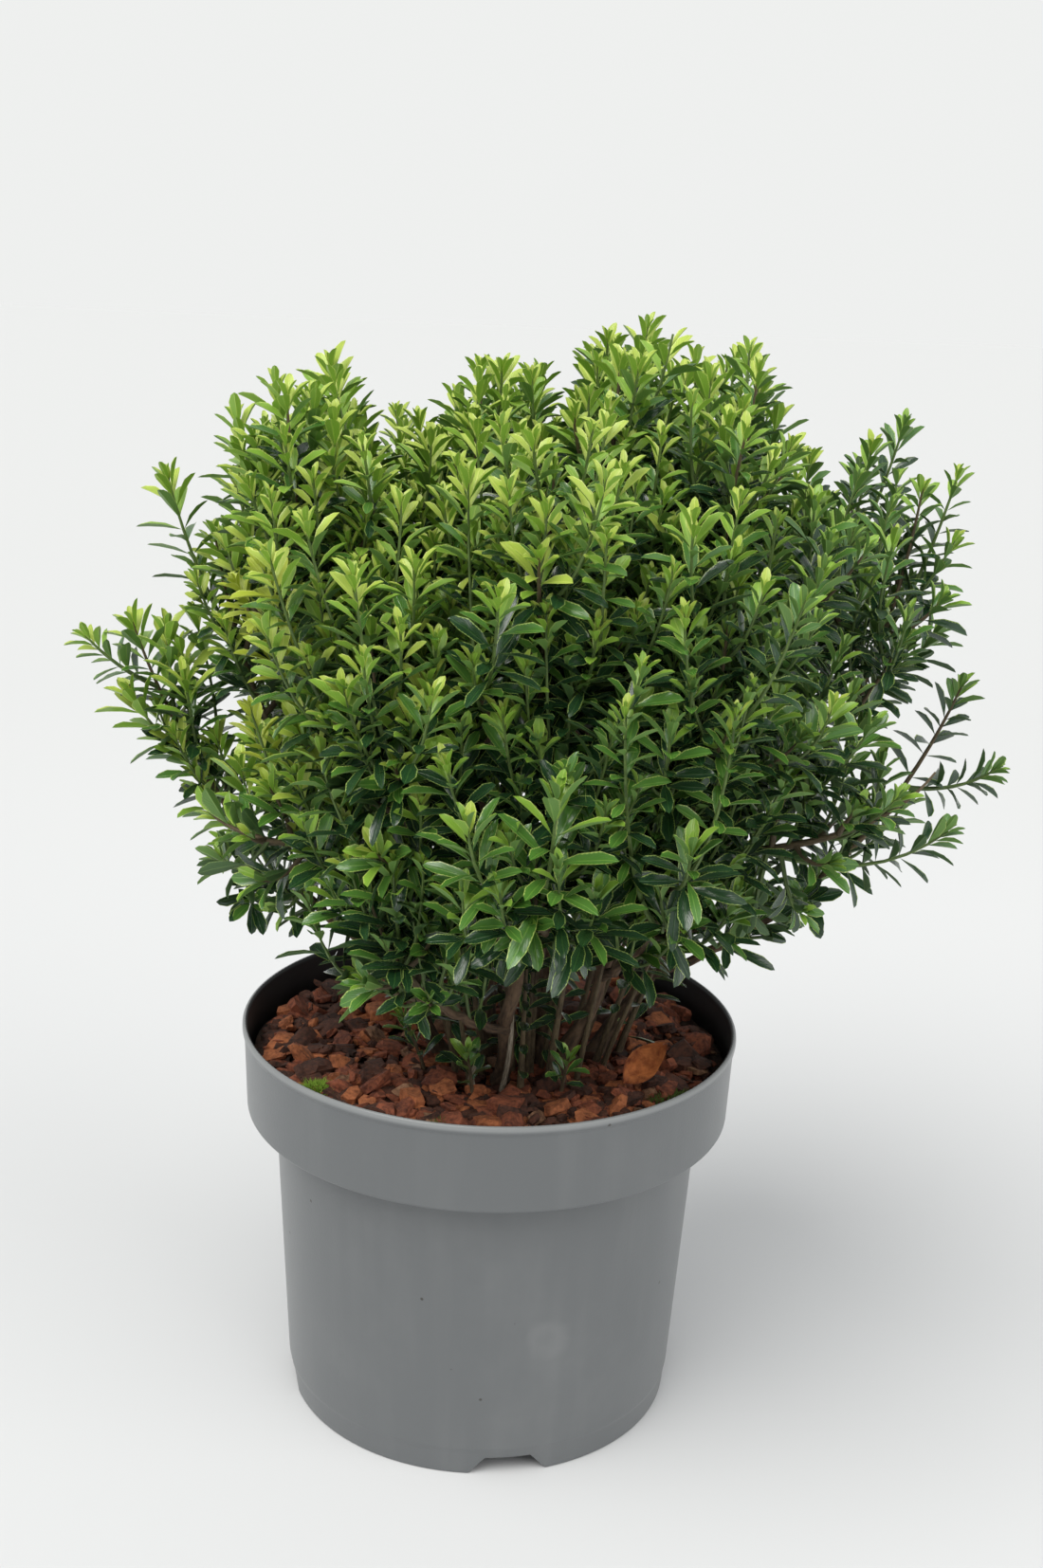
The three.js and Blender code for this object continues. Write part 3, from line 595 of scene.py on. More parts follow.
# The dry leaf is a blade (u along, v across) whose half width is 7.5 sin(pi u)^0.7 mm, cupped by
# 6 v^2, curled up at its ends by up to 11 mm and crumpled by 1.1 sin(11 u + 3 v), and 0.4 mm thick
DRY_PLACE = (73, -53, 198)
u, v = np.meshgrid(np.linspace(0.01, 0.99, 25), np.linspace(-1, 1, 11), indexing="ij")
half = 7.5 * np.sin(math.pi * u) ** 0.7
sheet = np.stack([26 * (u - 0.5), half * v, 6 * v ** 2 + 11 * (2 * u - 1) ** 2 * (0.3 + 0.7 * u)], axis=2)
sheet[..., 2] += 1.1 * np.sin(11 * u + 3 * v)
both_sides = np.concatenate([sheet.reshape(-1, 3), sheet.reshape(-1, 3) - (0, 0, 0.4)])
number = np.arange(u.size).reshape(u.shape)
a, b = number[:-1, :-1].ravel(), number[1:, :-1].ravel()
over = np.concatenate([np.stack([a, b, b + 1], axis=1), np.stack([a, b + 1, a + 1], axis=1)])
edge = np.concatenate([number[:, 0], number[-1, 1:], number[-2::-1, -1], number[0, -2:0:-1]])
after = np.roll(edge, -1)
near_rim = np.stack([edge, edge + u.size, after + u.size], axis=1)
far_rim = np.stack([edge, after + u.size, after], axis=1)
dry_faces = np.concatenate([over, over[:, ::-1] + u.size, near_rim, far_rim])
dry_turn = turn_matrices(np.array([0.6]), np.array([-0.6]), np.array([0.9]))[0]
dry_leaf = new_piece("dry_leaf", both_sides @ dry_turn.T + DRY_PLACE, dry_faces, 0.9)
paint(dry_leaf, [woody_material("dry_leaf", (0.16, 0.035, 0.01), (0.6, 0.21, 0.06), 190.0, 70.0, 0.001)])
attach(dry_leaf, "root")


# Stems and boughs
#
# Nine woody stems rise from one stool and sway a little. Each splays at its foot and forks into two
# thinner boughs. Their dark brown bark is fissured lengthwise and warted.

FOOT_LEVEL = 184.3
CROWN = np.array([20.0, -6.0, 340.0])
OUTER_FOOT_RING = 36
INNER_FOOT_RING = 14
FOOT_TURNS = 0.3
SIZE_VARIES = 0.12
STEM_FOOT_RADIUS = 4.2
STEM_FLARE = 2
FLARE_SHARE = 0.05
STEM_TIP_RADIUS = 2.6
BOUGH_ROOT_RADIUS = 2.5
BOUGH_TIP_RADIUS = 1.9
STEM_ROOM = 8
BOUGH_ROOM = 5
LIMB_MARGIN = 1
BOWS = [0, 8, -8, 16, -16, 24, -24, 32, -32, 40, -40]

# Each ring of foliage: its first bearing in degrees, how far its tips reach from the crown's
# middle and how high, how its limb bends on the way, where on the stem the limb forks off and from
# which share of it foliage grows
RINGS = {
    "low": (0, [190, 140, 142, 195, 132, 128], [362, 292, 294, 392, 288, 336], (0.7, 0.3),
            (0.14, 0.2), 0.42),
    "fill": (30, [162, 140, 146, 156, 140, 186], [360, 352, 352, 318, 320, 352], (0.8, 0.3),
             (0.24, 0.36), 0.44),
    "mid": (0, [168, 140, 138, 160, 140, 144], [462, 428, 430, 468, 402, 412], (0.84, 0.34),
            (0.3, 0.34), 0.44),
    "upper": (30, [182, 118, 120, 130, 118, 98], [486, 462, 486, 490, 472, 516], (0.8, 0.4),
              None, 0.54),
    "top": (60, [52, 34, 52], [510, 500, 508], (0.7, 0.5), None, 0.6),
}


def chance(n):
    """A repeatable number from 0 to 1 for each n: the fraction of 43758.5453 sin(127.1 n + 311.7 seed)."""
    s = np.sin(np.asarray(n, float) * 127.1 + SEED * 311.7) * 43758.5453
    return s - np.floor(s)


def vary(n, share):
    """A repeatable factor round 1, up to share more or less."""
    return 1 + share * (2 * chance(n) - 1)


def unit(vectors):
    """The vectors at length 1."""
    return vectors / np.maximum(np.linalg.norm(vectors, axis=-1, keepdims=True), 1e-9)


def along(curve, t):
    """The points of a quadratic curve A, B, C at t: (1-t)^2 A + 2t(1-t) B + t^2 C."""
    t = np.asarray(t, float)[..., None]
    return (1 - t) ** 2 * curve[0] + 2 * t * (1 - t) * curve[1] + t ** 2 * curve[2]


def heading(curve, t):
    """The unit tangents there, of (1-t)(B-A) + t(C-B)."""
    t = np.asarray(t, float)[..., None]
    return unit((1 - t) * (curve[1] - curve[0]) + t * (curve[2] - curve[1]))


def part_of(curve, start, end):
    """The stretch of a curve between two values of t, as a curve of its own."""
    first, middle, last = along(curve, [start, (start + end) / 2, end])
    return np.array([first, 2 * middle - (first + last) / 2, last])


def length_of(curve):
    return np.linalg.norm(np.diff(along(curve, np.linspace(0, 1, 65)), axis=0), axis=1).sum()


def gaps(points, starts, steps):
    """How far each point is from each straight segment, given by its start and its step to its end."""
    share = ((points[:, None] - starts) * steps).sum(2) / (steps ** 2).sum(1)
    near = starts + np.clip(share, 0, 1)[..., None] * steps
    return np.linalg.norm(points[:, None] - near, axis=2)


def clear_of(points, lines):
    """Which points are further from every line of points than its room and a margin."""
    starts = np.concatenate([line[:-1] for line, room in lines])
    steps = np.concatenate([np.diff(line, axis=0) for line, room in lines])
    rooms = np.concatenate([np.full(len(line) - 1, room) for line, room in lines])
    return (gaps(points, starts, steps) > rooms + LIMB_MARGIN).all(1)


def rising(start, tip, bend):
    """The curve from a foot or fork to a tip, rising more steeply towards its end."""
    control = start + (tip - start) * bend[0]
    control[2] = start[2] + (tip[2] - start[2]) * bend[1]
    return np.array([start, control, tip])


def tip_of(ring, i):
    """Where the main twig of a ring's mass i ends."""
    turn, reaches, heights = RINGS[ring][:3]
    angle = math.radians(turn) + i * 2 * math.pi / len(reaches)
    return np.array([CROWN[0] + reaches[i] * math.cos(angle), CROWN[1] + reaches[i] * math.sin(angle),
                     heights[i]])


def clear_branch(start, tip, bend, others):
    """A branch, bowed sideways by the least amount that passes the limbs in its way."""
    sideways = unit(np.array([start[1] - tip[1], tip[0] - start[0], 0.0]))
    for bow in BOWS:
        curve = rising(start, tip, bend)
        curve[1] += bow * sideways
        if clear_of(along(curve, np.arange(3, 25) / 24), others).all():
            return curve
    return rising(start, tip, bend)


masses = []


def limb_with_mass(ring, i, path, root):
    """Notes the mass of foliage that the far part of a path carries, and gives the bare part."""
    leaf_from = RINGS[ring][5]
    masses.append({"ring": ring, "path": path, "from": leaf_from, "main": part_of(path, leaf_from, 1),
                   "root": root, "node": f"foliage_{ring}_{i + 1}"})
    return part_of(path, 0, leaf_from)


paths = []
stem_curves = []
for s in range(9):
    ring = "upper" if s < 6 else "top"
    i = s % 6
    angle = i * 2 * math.pi / len(RINGS[ring][1]) + (0 if s < 6 else math.radians(60))
    turn = angle + FOOT_TURNS * chance(s + 20)
    foot_ring = (OUTER_FOOT_RING if s < 6 else INNER_FOOT_RING) * vary(s, SIZE_VARIES)
    foot = np.array([STOOL_X + foot_ring * math.cos(turn), STOOL_Y + foot_ring * math.sin(turn), FOOT_LEVEL])
    path = rising(foot, tip_of(ring, i), RINGS[ring][3])
    paths.append((path, ring, i))
    stem_curves.append(limb_with_mass(ring, i, path, STEM_TIP_RADIUS))

taken = [(along(path, np.linspace(0, 1, 17)), STEM_ROOM) for path, ring, i in paths]
bough_curves = []
for parent, (path, ring, i) in enumerate(paths):
    forks = [("low", i), ("mid", i)] if ring == "upper" else [("fill", 2 * i), ("fill", 2 * i + 1)]
    for kind, k in forks:
        bend, fork_at = RINGS[kind][3:5]
        others = [line for t, line in enumerate(taken) if t != parent]
        branch = clear_branch(along(path, fork_at[k % 2]), tip_of(kind, k), bend, others)
        bough_curves.append(limb_with_mass(kind, k, branch, BOUGH_TIP_RADIUS))
        taken.append((along(branch, np.linspace(0, 1, 17)), BOUGH_ROOM))


def tubes(curves, radii, sway):
    """Closed tubes along quadratic curves C. With side the normal of curve i's plane and front square to
    it and to the tangent, the centre line is C(t) + sway sin(pi t)^0.5 (sin b front + cos(0.8 b) side),
    where b is 20 t + 2.4 i. A ring's point k stands at r_k (cos a_k front + sin a_k side) from there.
    Each end is closed by a point. Also gives each point's UV: turns round, millimetres along."""
    count, rings, sides = radii.shape
    t = np.linspace(0, 1, rings)
    centre = np.stack([along(curve, t) for curve in curves])
    tangent = np.stack([heading(curve, t) for curve in curves])
    side = np.cross(curves[:, 1] - curves[:, 0], curves[:, 2] - curves[:, 0])
    straight = np.linalg.norm(side, axis=1) < 1e-3
    side[straight] = np.cross(tangent[straight, 0], (0.31, 0.95, 0.1))
    side = unit(side)[:, None]
    side = unit(side - tangent * (side * tangent).sum(2, keepdims=True))
    front = np.cross(side, tangent)
    swing = sway * np.sin(math.pi * t)[:, None] ** 0.5
    turn = 20 * t[:, None] + 2.4 * np.arange(count)[:, None, None]
    centre += swing * (np.sin(turn) * front + np.cos(0.8 * turn) * side)
    angle = full_turn(sides)[:, None]
    spokes = np.cos(angle) * front[:, :, None] + np.sin(angle) * side[:, :, None]
    wall = centre[:, :, None] + radii[..., None] * spokes
    points = np.concatenate([wall.reshape(count, -1, 3), centre[:, [0, -1]]], axis=1)
    faces = copied(closed_faces(rings, sides), count, points.shape[1])
    steps = np.linalg.norm(np.diff(centre, axis=1), axis=2)
    run = np.concatenate([np.zeros((count, 1)), np.cumsum(steps, axis=1)], axis=1)
    u = np.abs(np.linspace(-1, 1, sides, endpoint=False))
    uv = np.stack(np.broadcast_arrays(u * 6, run[:, :, None]), axis=3).reshape(count, -1, 2)
    end_uv = np.stack([np.zeros((count, 2)), run[:, [0, -1]]], axis=2)
    return points.reshape(-1, 3), faces, np.concatenate([uv, end_uv], axis=1).reshape(-1, 2)


def set_uv(piece, uv):
    """Gives each corner of the mesh the UV of its point."""
    mesh = piece.data
    corner = np.zeros(len(mesh.loops), np.int32)
    mesh.loops.foreach_get("vertex_index", corner)
    layer = mesh.uv_layers.new(name="UVMap")
    layer.uv.foreach_set("vector", uv[corner].astype(np.float32).ravel())


def bark_relief(count, rings, sides, lengths, coarse):
    """How far bark stands proud, from 0 to 1, on a grid of rings and sides: ridges that wander round
    the limb as sin(k a + wander), broken along it, with low warts at chance places."""
    limb = np.arange(count)[:, None, None]
    run = np.linspace(0, 1, rings)[None, :, None] * np.asarray(lengths)[:, None, None]
    angle = full_turn(sides)
    wander = 1.1 * np.sin(run / 17 + 2.1 * limb) + 0.5 * np.sin(run / 6.1 + limb)
    ridges = np.abs(np.sin(coarse / 2 * angle + wander + limb))
    broken = 0.6 + 0.4 * np.sin(run / 4.3 + 3 * np.sin(angle + limb))
    warts = np.clip(np.sin(run / 3.7 + 5 * limb) * np.sin(2 * angle + run / 9) - 0.55, 0, 1)
    return ridges * broken * 0.8 + warts * 1.4


def stem_radius(t):
    """A stem tapers evenly, and flares at its foot by STEM_FLARE e^(-t / FLARE_SHARE)."""
    taper = STEM_FOOT_RADIUS + (STEM_TIP_RADIUS - STEM_FOOT_RADIUS) * t
    return taper + STEM_FLARE * np.exp(-t / FLARE_SHARE)


def tube_piece(name, curves, radii, sway=0.0, smooth_to=0.9):
    """A piece of tubes. Their radii come as a grid of tube, ring and side."""
    points, faces, uv = tubes(np.array(curves), radii, sway)
    piece = new_piece(name, points, faces, smooth_to)
    set_uv(piece, uv)
    return piece


STEM_SWAY = 1.7
STEM_RINGS = 90
STEM_SIDES = 20
STEM_RELIEF = 0.75
t = np.linspace(0, 1, STEM_RINGS)[None, :, None]
lengths = [length_of(curve) for curve in stem_curves]
relief = bark_relief(9, STEM_RINGS, STEM_SIDES, lengths, 8)
swell = 0.9 + 0.1 * np.sin(t * 23 + np.arange(9)[:, None, None])
radii = stem_radius(t) * swell * 0.93 + STEM_RELIEF * relief * (1 - 0.55 * t)
stems = tube_piece("stems_bark", stem_curves, radii, STEM_SWAY)

BOUGH_SWAY = 0.8
BOUGH_RINGS = 44
BOUGH_SIDES = 12
BOUGH_RELIEF = 0.32
t = np.linspace(0, 1, BOUGH_RINGS)[None, :, None]
lengths = [length_of(curve) for curve in bough_curves]
relief = bark_relief(18, BOUGH_RINGS, BOUGH_SIDES, lengths, 6)
taper = BOUGH_ROOT_RADIUS + (BOUGH_TIP_RADIUS - BOUGH_ROOT_RADIUS) * t
boughs = tube_piece("boughs_bark", bough_curves, taper * 0.94 + BOUGH_RELIEF * relief, BOUGH_SWAY)

bark = woody_material("bark", (0.03, 0.018, 0.011), (0.16, 0.1, 0.057), 0.9, 0.12, 0.0009, (1, 0.16, 1), 0.9)
paint(stems, [bark])
paint(boughs, [bark])
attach(stems, "root")
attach(boughs, "root")
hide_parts(*[f"stem_{s + 1}" for s in range(9)])
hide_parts(*[f"bough_{ring}_{k + 1}" for ring in ("low", "mid", "fill") for k in range(6)])


# Twigs
#
# Each limb runs on into a main twig, with side twigs and fine upright shoots round it by the golden
# angle. Strong shoots stand out of the crown. Suckers, thin bare stems and two dead twigs rise from
# the stool. Old wood is brown and shoots are green.

GOLDEN_ANGLE = math.pi * (3 - math.sqrt(5))
SIDE_TWIGS = 6
FIRST_TWIG = 0.08
LAST_TWIG = 0.68
TWIG_REACH = 0.8
TWIG_SHORTENS = 0.5
TWIG_TURNS = 0.16
TWIG_RISES = 0.3
TWIG_SIZES = [1, 0.82, 0.66, 0.5]
MASS_TURN = 1.3
SPACE_MARGIN = 0.6
POT_HEIGHT = 197
POT_ROOM = 8
RIM_ZONE = 12
MAIN_RUNS_ON = [16, 8, 0, -10, -20, -30]
SHOOTS_ON_TWIG = 18
SHOOTS_ON_BOUGH = 8
SHOOTS_FROM = 0.12
SHOOTS_OVER = 0.8
SHOOT_REACH = 80
SHOOT_SIZES = [1, 0.84, 0.7, 0.58, 0.46]
TIPS_APART = 17
TIPS_APART_INSIDE = 11.5
INSIDE_TO = 0.72
INSIDE_UNDER = 470
RAGGED_TOP = 20
BOX_MARGIN = 9
SEEN_FROM = 900
HOLLOW_DEPTH = 9
TWIG_FULLNESS = 0.96
SHORT_TWIG_FULLNESS = 1.12
LEADER_FULLNESS = 1.25
FRONT_Y = -150
TWIG_RADIUS = 1.5
SHOOT_RADIUS = 0.95
STRONG_RADIUS = 1.2
LEADER_REACH = 158
SPACE_SHARED = 24
LOWEST_TIP = 268
TWIG_TIP_RADIUS = 0.5

# The crown's outline without its longest shoots: its middle and half width at heights, and how high
# its top stands at places from left to right
BODY_HEIGHTS = [215, 240, 263, 287, 310, 334, 357, 381, 428, 451, 475, 498, 522, 545]
BODY_MIDDLES = [12, 10, 11, 11, 14, 20, 22, 24, 24, 22, 27, 29, 27, 26]
BODY_RADII = [90, 114, 139, 153, 154, 156, 162, 168, 170, 168, 159, 151, 127, 88]
BODY_Y = -6
TOP_PLACES = [-200, -172, -158, -140, -128, -118, -98, -80, -70, -60, -44, -26, -8, 10, 19, 28, 36, 50, 70,
              91, 100, 107, 116, 128, 140, 155, 168, 180, 198, 212, 230]
TOP_HEIGHTS = [396, 412, 440, 448, 494, 512, 532, 536, 506, 493, 497, 512, 530, 516, 492, 505, 532, 541, 538,
               541, 536, 530, 541, 512, 480, 474, 480, 482, 470, 456, 420]

# Places where sky shows inside the outline: x and z of the middle, half width and half height
OPEN_PLACES = [(-174, 377, 17, 13), (203, 358, 17, 22), (213, 332, 24, 12)]

limbs = [(along(curve, np.linspace(0, 1, 11)), 5) for curve in stem_curves]
limbs += [(along(curve, np.linspace(0, 1, 9)), 2.7) for curve in bough_curves]
lines = [along(mass["main"], np.linspace(0, 1, 7)) for mass in masses]
line_starts = np.concatenate([line[:-1] for line in lines])
line_steps = np.concatenate([np.diff(line, axis=0) for line in lines])
solids_low, solids_high = (np.array(corner) / MM for corner in solids_box)


def clear_of_pot(points):
    """Which points stand above the mulch, or above the rim where they come near it."""
    radius = np.hypot(points[:, 0], points[:, 1])
    return points[:, 2] > np.where(radius > RIM_RADIUS - RIM_ZONE, POT_HEIGHT, MULCH_LEVEL) + POT_ROOM


def keeps_to_space(points, m, slack):
    """Which points are nearer to the main twig of mass m than to any other, or further by up to slack."""
    each = gaps(points, line_starts, line_steps).reshape(len(points), len(masses), -1).min(2)
    mine = each[:, m].copy()
    each[:, m] = np.inf
    return each.min(1) > mine - slack


def fullness(points):
    """How far out each point stands: its distance from the crown's axis over the half width there."""
    middle = np.interp(points[..., 2], BODY_HEIGHTS, BODY_MIDDLES)
    radius = np.hypot(points[..., 0] - middle, points[..., 1] - BODY_Y)
    return radius / np.interp(points[..., 2], BODY_HEIGHTS, BODY_RADII, left=60, right=1)


def seen_x(points):
    """How far right of the middle each point is seen from the front, from SEEN_FROM away."""
    return points[..., 0] * SEEN_FROM / (SEEN_FROM + points[..., 1])


def top_of(points):
    """How high the crown may stand there, lower in hollows that run in waves from front to back."""
    hollow = 1 + np.sin(points[..., 1] / 19 + points[..., 0] / 41)
    return np.interp(seen_x(points), TOP_PLACES, TOP_HEIGHTS) - HOLLOW_DEPTH * hollow


def in_the_open(points):
    """Which points stand, seen from the front, where sky shows between an arm and the crown's body."""
    x = seen_x(points)
    open_here = np.zeros(x.shape, bool)
    for middle_x, middle_z, wide, tall in OPEN_PLACES:
        open_here |= np.hypot((x - middle_x) / wide, (points[..., 2] - middle_z) / tall) < 1
    return open_here


def lumpy(points):
    """The outline's swelling from group to group of shoots, as a share of its half width."""
    bearing = np.arctan2(points[..., 1] - BODY_Y, points[..., 0] - CROWN[0])
    broad = 0.05 * np.sin(5 * bearing + points[..., 2] / 33)
    return 1 + (broad + 0.035 * np.sin(9 * bearing - points[..., 2] / 21))


def turned_about(vector, axis, angle):
    """The vector turned about an axis: v cos a + (axis x v) sin a, as it is square to the axis."""
    return vector * math.cos(angle) + np.cross(axis, vector) * math.sin(angle)


def side_twig(main, m, k, size):
    """A side twig leaves at a wide angle, turns outwards and up, and is shorter the nearer it starts to
    the main twig's tip."""
    share = FIRST_TWIG + (LAST_TWIG - FIRST_TWIG) * k / (SIDE_TWIGS - 1)
    start = along(main, share)
    tangent = heading(main, share)
    outward = unit(start - CROWN)
    across = turned_about(unit(np.cross(tangent, outward)), tangent, m * MASS_TURN + k * GOLDEN_ANGLE)
    reach = size * length_of(main) * (TWIG_REACH - TWIG_SHORTENS * share) * vary(m * 31 + k, SIZE_VARIES)
    control = start + 0.2 * reach * tangent + 0.5 * reach * across
    end = control + 0.2 * reach * tangent + TWIG_TURNS * reach * (across + outward)
    end[2] += TWIG_RISES * reach
    return np.array([start, control, end])


def upright_shoot(parent, share, number, reach):
    """A fine shoot leaves its twig at an acute angle and turns up towards the light."""
    start = along(parent, share)
    tangent = heading(parent, share)
    outward = unit(start - CROWN)
    across = turned_about(unit(np.cross(tangent, outward)), tangent, number * GOLDEN_ANGLE)
    control = start + reach * (0.2 * tangent + 0.24 * across)
    lean = 0.1 + 0.35 * chance(number * 7)
    rise = unit(0.15 * across + lean * outward + np.array([0, 0, 1.0]))
    return np.array([start, control, control + 0.64 * reach * rise])


# Which masses have a main twig that leads out of the crown
leads = np.array([np.linalg.norm((mass["path"][2] - CROWN)[:2]) > LEADER_REACH for mass in masses])

# Ranks: 0 is a main twig, 1 a side twig, 2 a shoot, 3 a strong shoot, 4 a sucker, 5 a bough that bears
# leaves, 6 a stretch of bough that only grows shoots, and 7 a thin bare stem
twigs = []
tips = np.zeros((0, 3))
for m, mass in enumerate(masses):
    for more in MAIN_RUNS_ON:
        grown = part_of(mass["main"], 0, 1 + more / length_of(mass["main"]))
        inside = (grown[2] > solids_low + BOX_MARGIN) & (grown[2] < solids_high - BOX_MARGIN)
        if inside.all() and grown[2][2] < top_of(grown[2]) + 6:
            break
    twigs.append((grown, mass["root"], 0, m))
    tips = np.vstack([tips, grown[2]])
for m, mass in enumerate(masses):
    for k in range(SIDE_TWIGS):
        for size in TWIG_SIZES:
            side = side_twig(mass["main"], m, k, size)
            points = along(side, np.arange(1, 7) / 6)
            fits = clear_of_pot(points) & clear_of(points, limbs)
            fits &= keeps_to_space(points, m, -2 * SPACE_MARGIN)
            fits &= fullness(points) < (TWIG_FULLNESS if size > 0.6 else SHORT_TWIG_FULLNESS)
            fits &= points[:, 2] < top_of(points) + 4
            fits[-1] &= ~in_the_open(side[2])
            if fits.all():
                twigs.append((side, TWIG_RADIUS, 1, m))
                tips = np.vstack([tips, side[2]])
                break
grows_shoots = list(twigs)
for m, mass in enumerate(masses):
    if mass["ring"] in ("low", "mid", "fill"):
        grows_shoots.append((part_of(mass["path"], mass["from"] * 0.35, mass["from"]), 2, 6, m))
for j, (parent, root, rank, m) in enumerate(grows_shoots):
    for k in range(SHOOTS_ON_TWIG if rank < 2 else SHOOTS_ON_BOUGH):
        number = j * 23 + k
        share = SHOOTS_FROM + SHOOTS_OVER * (k + chance(number)) / SHOOTS_ON_TWIG
        for size in SHOOT_SIZES:
            shoot = upright_shoot(parent, share, number, SHOOT_REACH * size * vary(number * 3, 0.2))
            points = along(shoot, np.arange(1, 7) / 6)
            limit = (0.82 + 0.18 * chance(number * 5)) * lumpy(points)
            if rank == 0 and leads[m] and size < 0.6:
                limit = LEADER_FULLNESS if shoot[2][2] < parent[2][2] + 4 else 1
            fits = clear_of_pot(points) & (fullness(points) < limit)
            fits &= points[:, 2] < top_of(points) - RAGGED_TOP * chance(number * 9) ** 2
            fits[-1] &= ~in_the_open(shoot[2])
            outer = fullness(shoot[2]) > INSIDE_TO or shoot[2][2] > INSIDE_UNDER
            apart = TIPS_APART if outer else TIPS_APART_INSIDE
            crowded = np.linalg.norm(tips - shoot[2], axis=1).min() < apart
            if crowded or not fits.all() or rank == 6 and shoot[2][2] < LOWEST_TIP:
                continue
            first = 0 if rank < 2 else 2
            if (clear_of(points, limbs) & keeps_to_space(points, m, SPACE_SHARED))[first:].all():
                twigs.append((shoot, SHOOT_RADIUS, 2, m))
                tips = np.vstack([tips, shoot[2]])
                break

# Strong shoots stand out: the mass that each one grows on, from which share of its main twig, its
# tip, and the size of its leaves
STRONG_SHOOTS = [
    ("mid_4", 0.45, (-157, -8, 461), 1.2),
    ("mid_1", 0.5, (205, -4, 478), 0.95),
    ("upper_1", 0.6, (186, 40, 495), 1.25),
    ("upper_1", 0.4, (170, 30, 484), 1.1),
    ("upper_4", 0.7, (-101, -56, 510), 1.1),
    ("upper_4", 0.5, (-122, -30, 492), 1.05),
    ("upper_3", 0.7, (-88, 40, 510), 1.15),
    ("upper_6", 0.75, (103, -30, 530), 1.1),
    ("top_1", 0.7, (42, 20, 530), 1.1),
    ("low_4", 0.75, (-196, -12, 386), 0.9),
    ("low_1", 0.6, (234, -16, 341), 0.95),
    ("fill_6", 0.35, (172, -112, 354), 0.9),
    ("fill_6", 0.1, (136, -104, 298), 0.85),
    ("fill_6", 0.02, (200, -84, 331), 0.9),
    ("fill_4", 0.2, (-94, -80, 280), 0.95),
    ("fill_4", 0.5, (-124, -66, 298), 0.95),
    ("low_4", 0.1, (-126, -24, 288), 1),
    ("low_4", 0.6, (-158, -10, 391), 1),
    ("low_1", 0.1, (142, -52, 288), 0.9),
    ("fill_6", 0.05, (116, -66, 284), 0.9),
    ("low_4", 0.05, (-112, -52, 272), 0.9),
    ("fill_5", 0.3, (-8, -168, 351), 1.2),
    ("fill_5", 0.5, (27, -168, 365), 1.45),
    ("low_6", 0.2, (52, -167, 401), 0.95),
    ("low_6", 0.4, (96, -157, 399), 0.95),
    ("fill_5", 0.2, (-8, -132, 306), 1.1),
    ("low_6", 0.5, (82, -158, 341), 1.1),
    ("low_5", 0.45, (-40, -133, 322), 1.2),
    ("low_5", 0.25, (-57, -102, 288), 1),
]
node_of_mass = [mass["node"] for mass in masses]
for label, share, tip, larger in STRONG_SHOOTS:
    m = node_of_mass.index("foliage_" + label)
    bend = (0.9 if tip[1] < FRONT_Y else 0.6, 0.35)
    strong = rising(along(twigs[m][0], share), np.array(tip, float), bend)
    away = np.linalg.norm((strong[2] - strong[0])[:2])
    strong[1][2] = min(strong[1][2], tip[2] - 0.35 * away)
    twigs.append((strong, STRONG_RADIUS, 3, m))


def from_stool(bearing, distance, tall, out, bend):
    """A curve from a foot at a bearing and distance from the stool's middle. It rises by tall and leans
    out by out. Also which of its points clear the limbs."""
    way = np.array([math.cos(math.radians(bearing)), math.sin(math.radians(bearing)), 0])
    foot = np.array([STOOL_X, STOOL_Y, FOOT_LEVEL - 0.5]) + distance * way
    curve = rising(foot, foot + out * way + (0, 0, tall), bend)
    return curve, clear_of(along(curve, np.arange(13) / 12), limbs)


# Suckers, then thin bare stems: the bearing and distance of each foot, its height and lean
SUCKERS = [
    (-118, 44, 62, 20), (-95, 22, 88, 20), (-64, 50, 24, 7), (-140, 36, 84, 30), (5, 50, 66, 24),
    (-112, 52, 26, 8), (-18, 40, 92, 30), (170, 42, 70, 20), (95, 40, 60, 16), (-86, 40, 84, 12),
    (-130, 24, 72, 16), (-66, 38, 100, 26), (-150, 50, 34, 14), (-12, 26, 100, 22), (-75, 26, 90, 10),
]
THIN_STEMS = [
    (-100, 20, 120, 34), (-80, 30, 104, 12), (-60, 24, 122, 38), (-122, 30, 112, 26), (-30, 27, 118, 52),
    (-46, 42, 96, 22), (-142, 30, 108, 44), (8, 32, 112, 40), (-70, 12, 128, 24), (-112, 10, 128, 46),
    (150, 26, 108, 40), (62, 26, 108, 30), (102, 22, 116, 30), (-20, 44, 90, 34), (-132, 42, 90, 22),
    (-52, 10, 126, 60), (-84, 18, 120, -14),
]
for row in SUCKERS:
    sucker, clear = from_stool(*row, (0.3, 0.4))
    if clear.all():
        twigs.append((sucker, 2 if row[2] > 50 else 1, 4, 0))
for row in THIN_STEMS:
    thin, clear = from_stool(*row, (0.35, 0.45))
    if clear.mean() > 0.6:
        twigs.append((thin, TWIG_RADIUS, 7, 0))

# Leaves also hang from the outer halves of these boughs, which the twigs' mesh leaves out
for label in ("low_1", "fill_6", "low_4", "fill_4", "low_6"):
    m = node_of_mass.index("foliage_" + label)
    path, leaf_from = masses[m]["path"], masses[m]["from"]
    twigs.append((part_of(path, leaf_from * 0.5, leaf_from * 1.02), 2, 5, m))

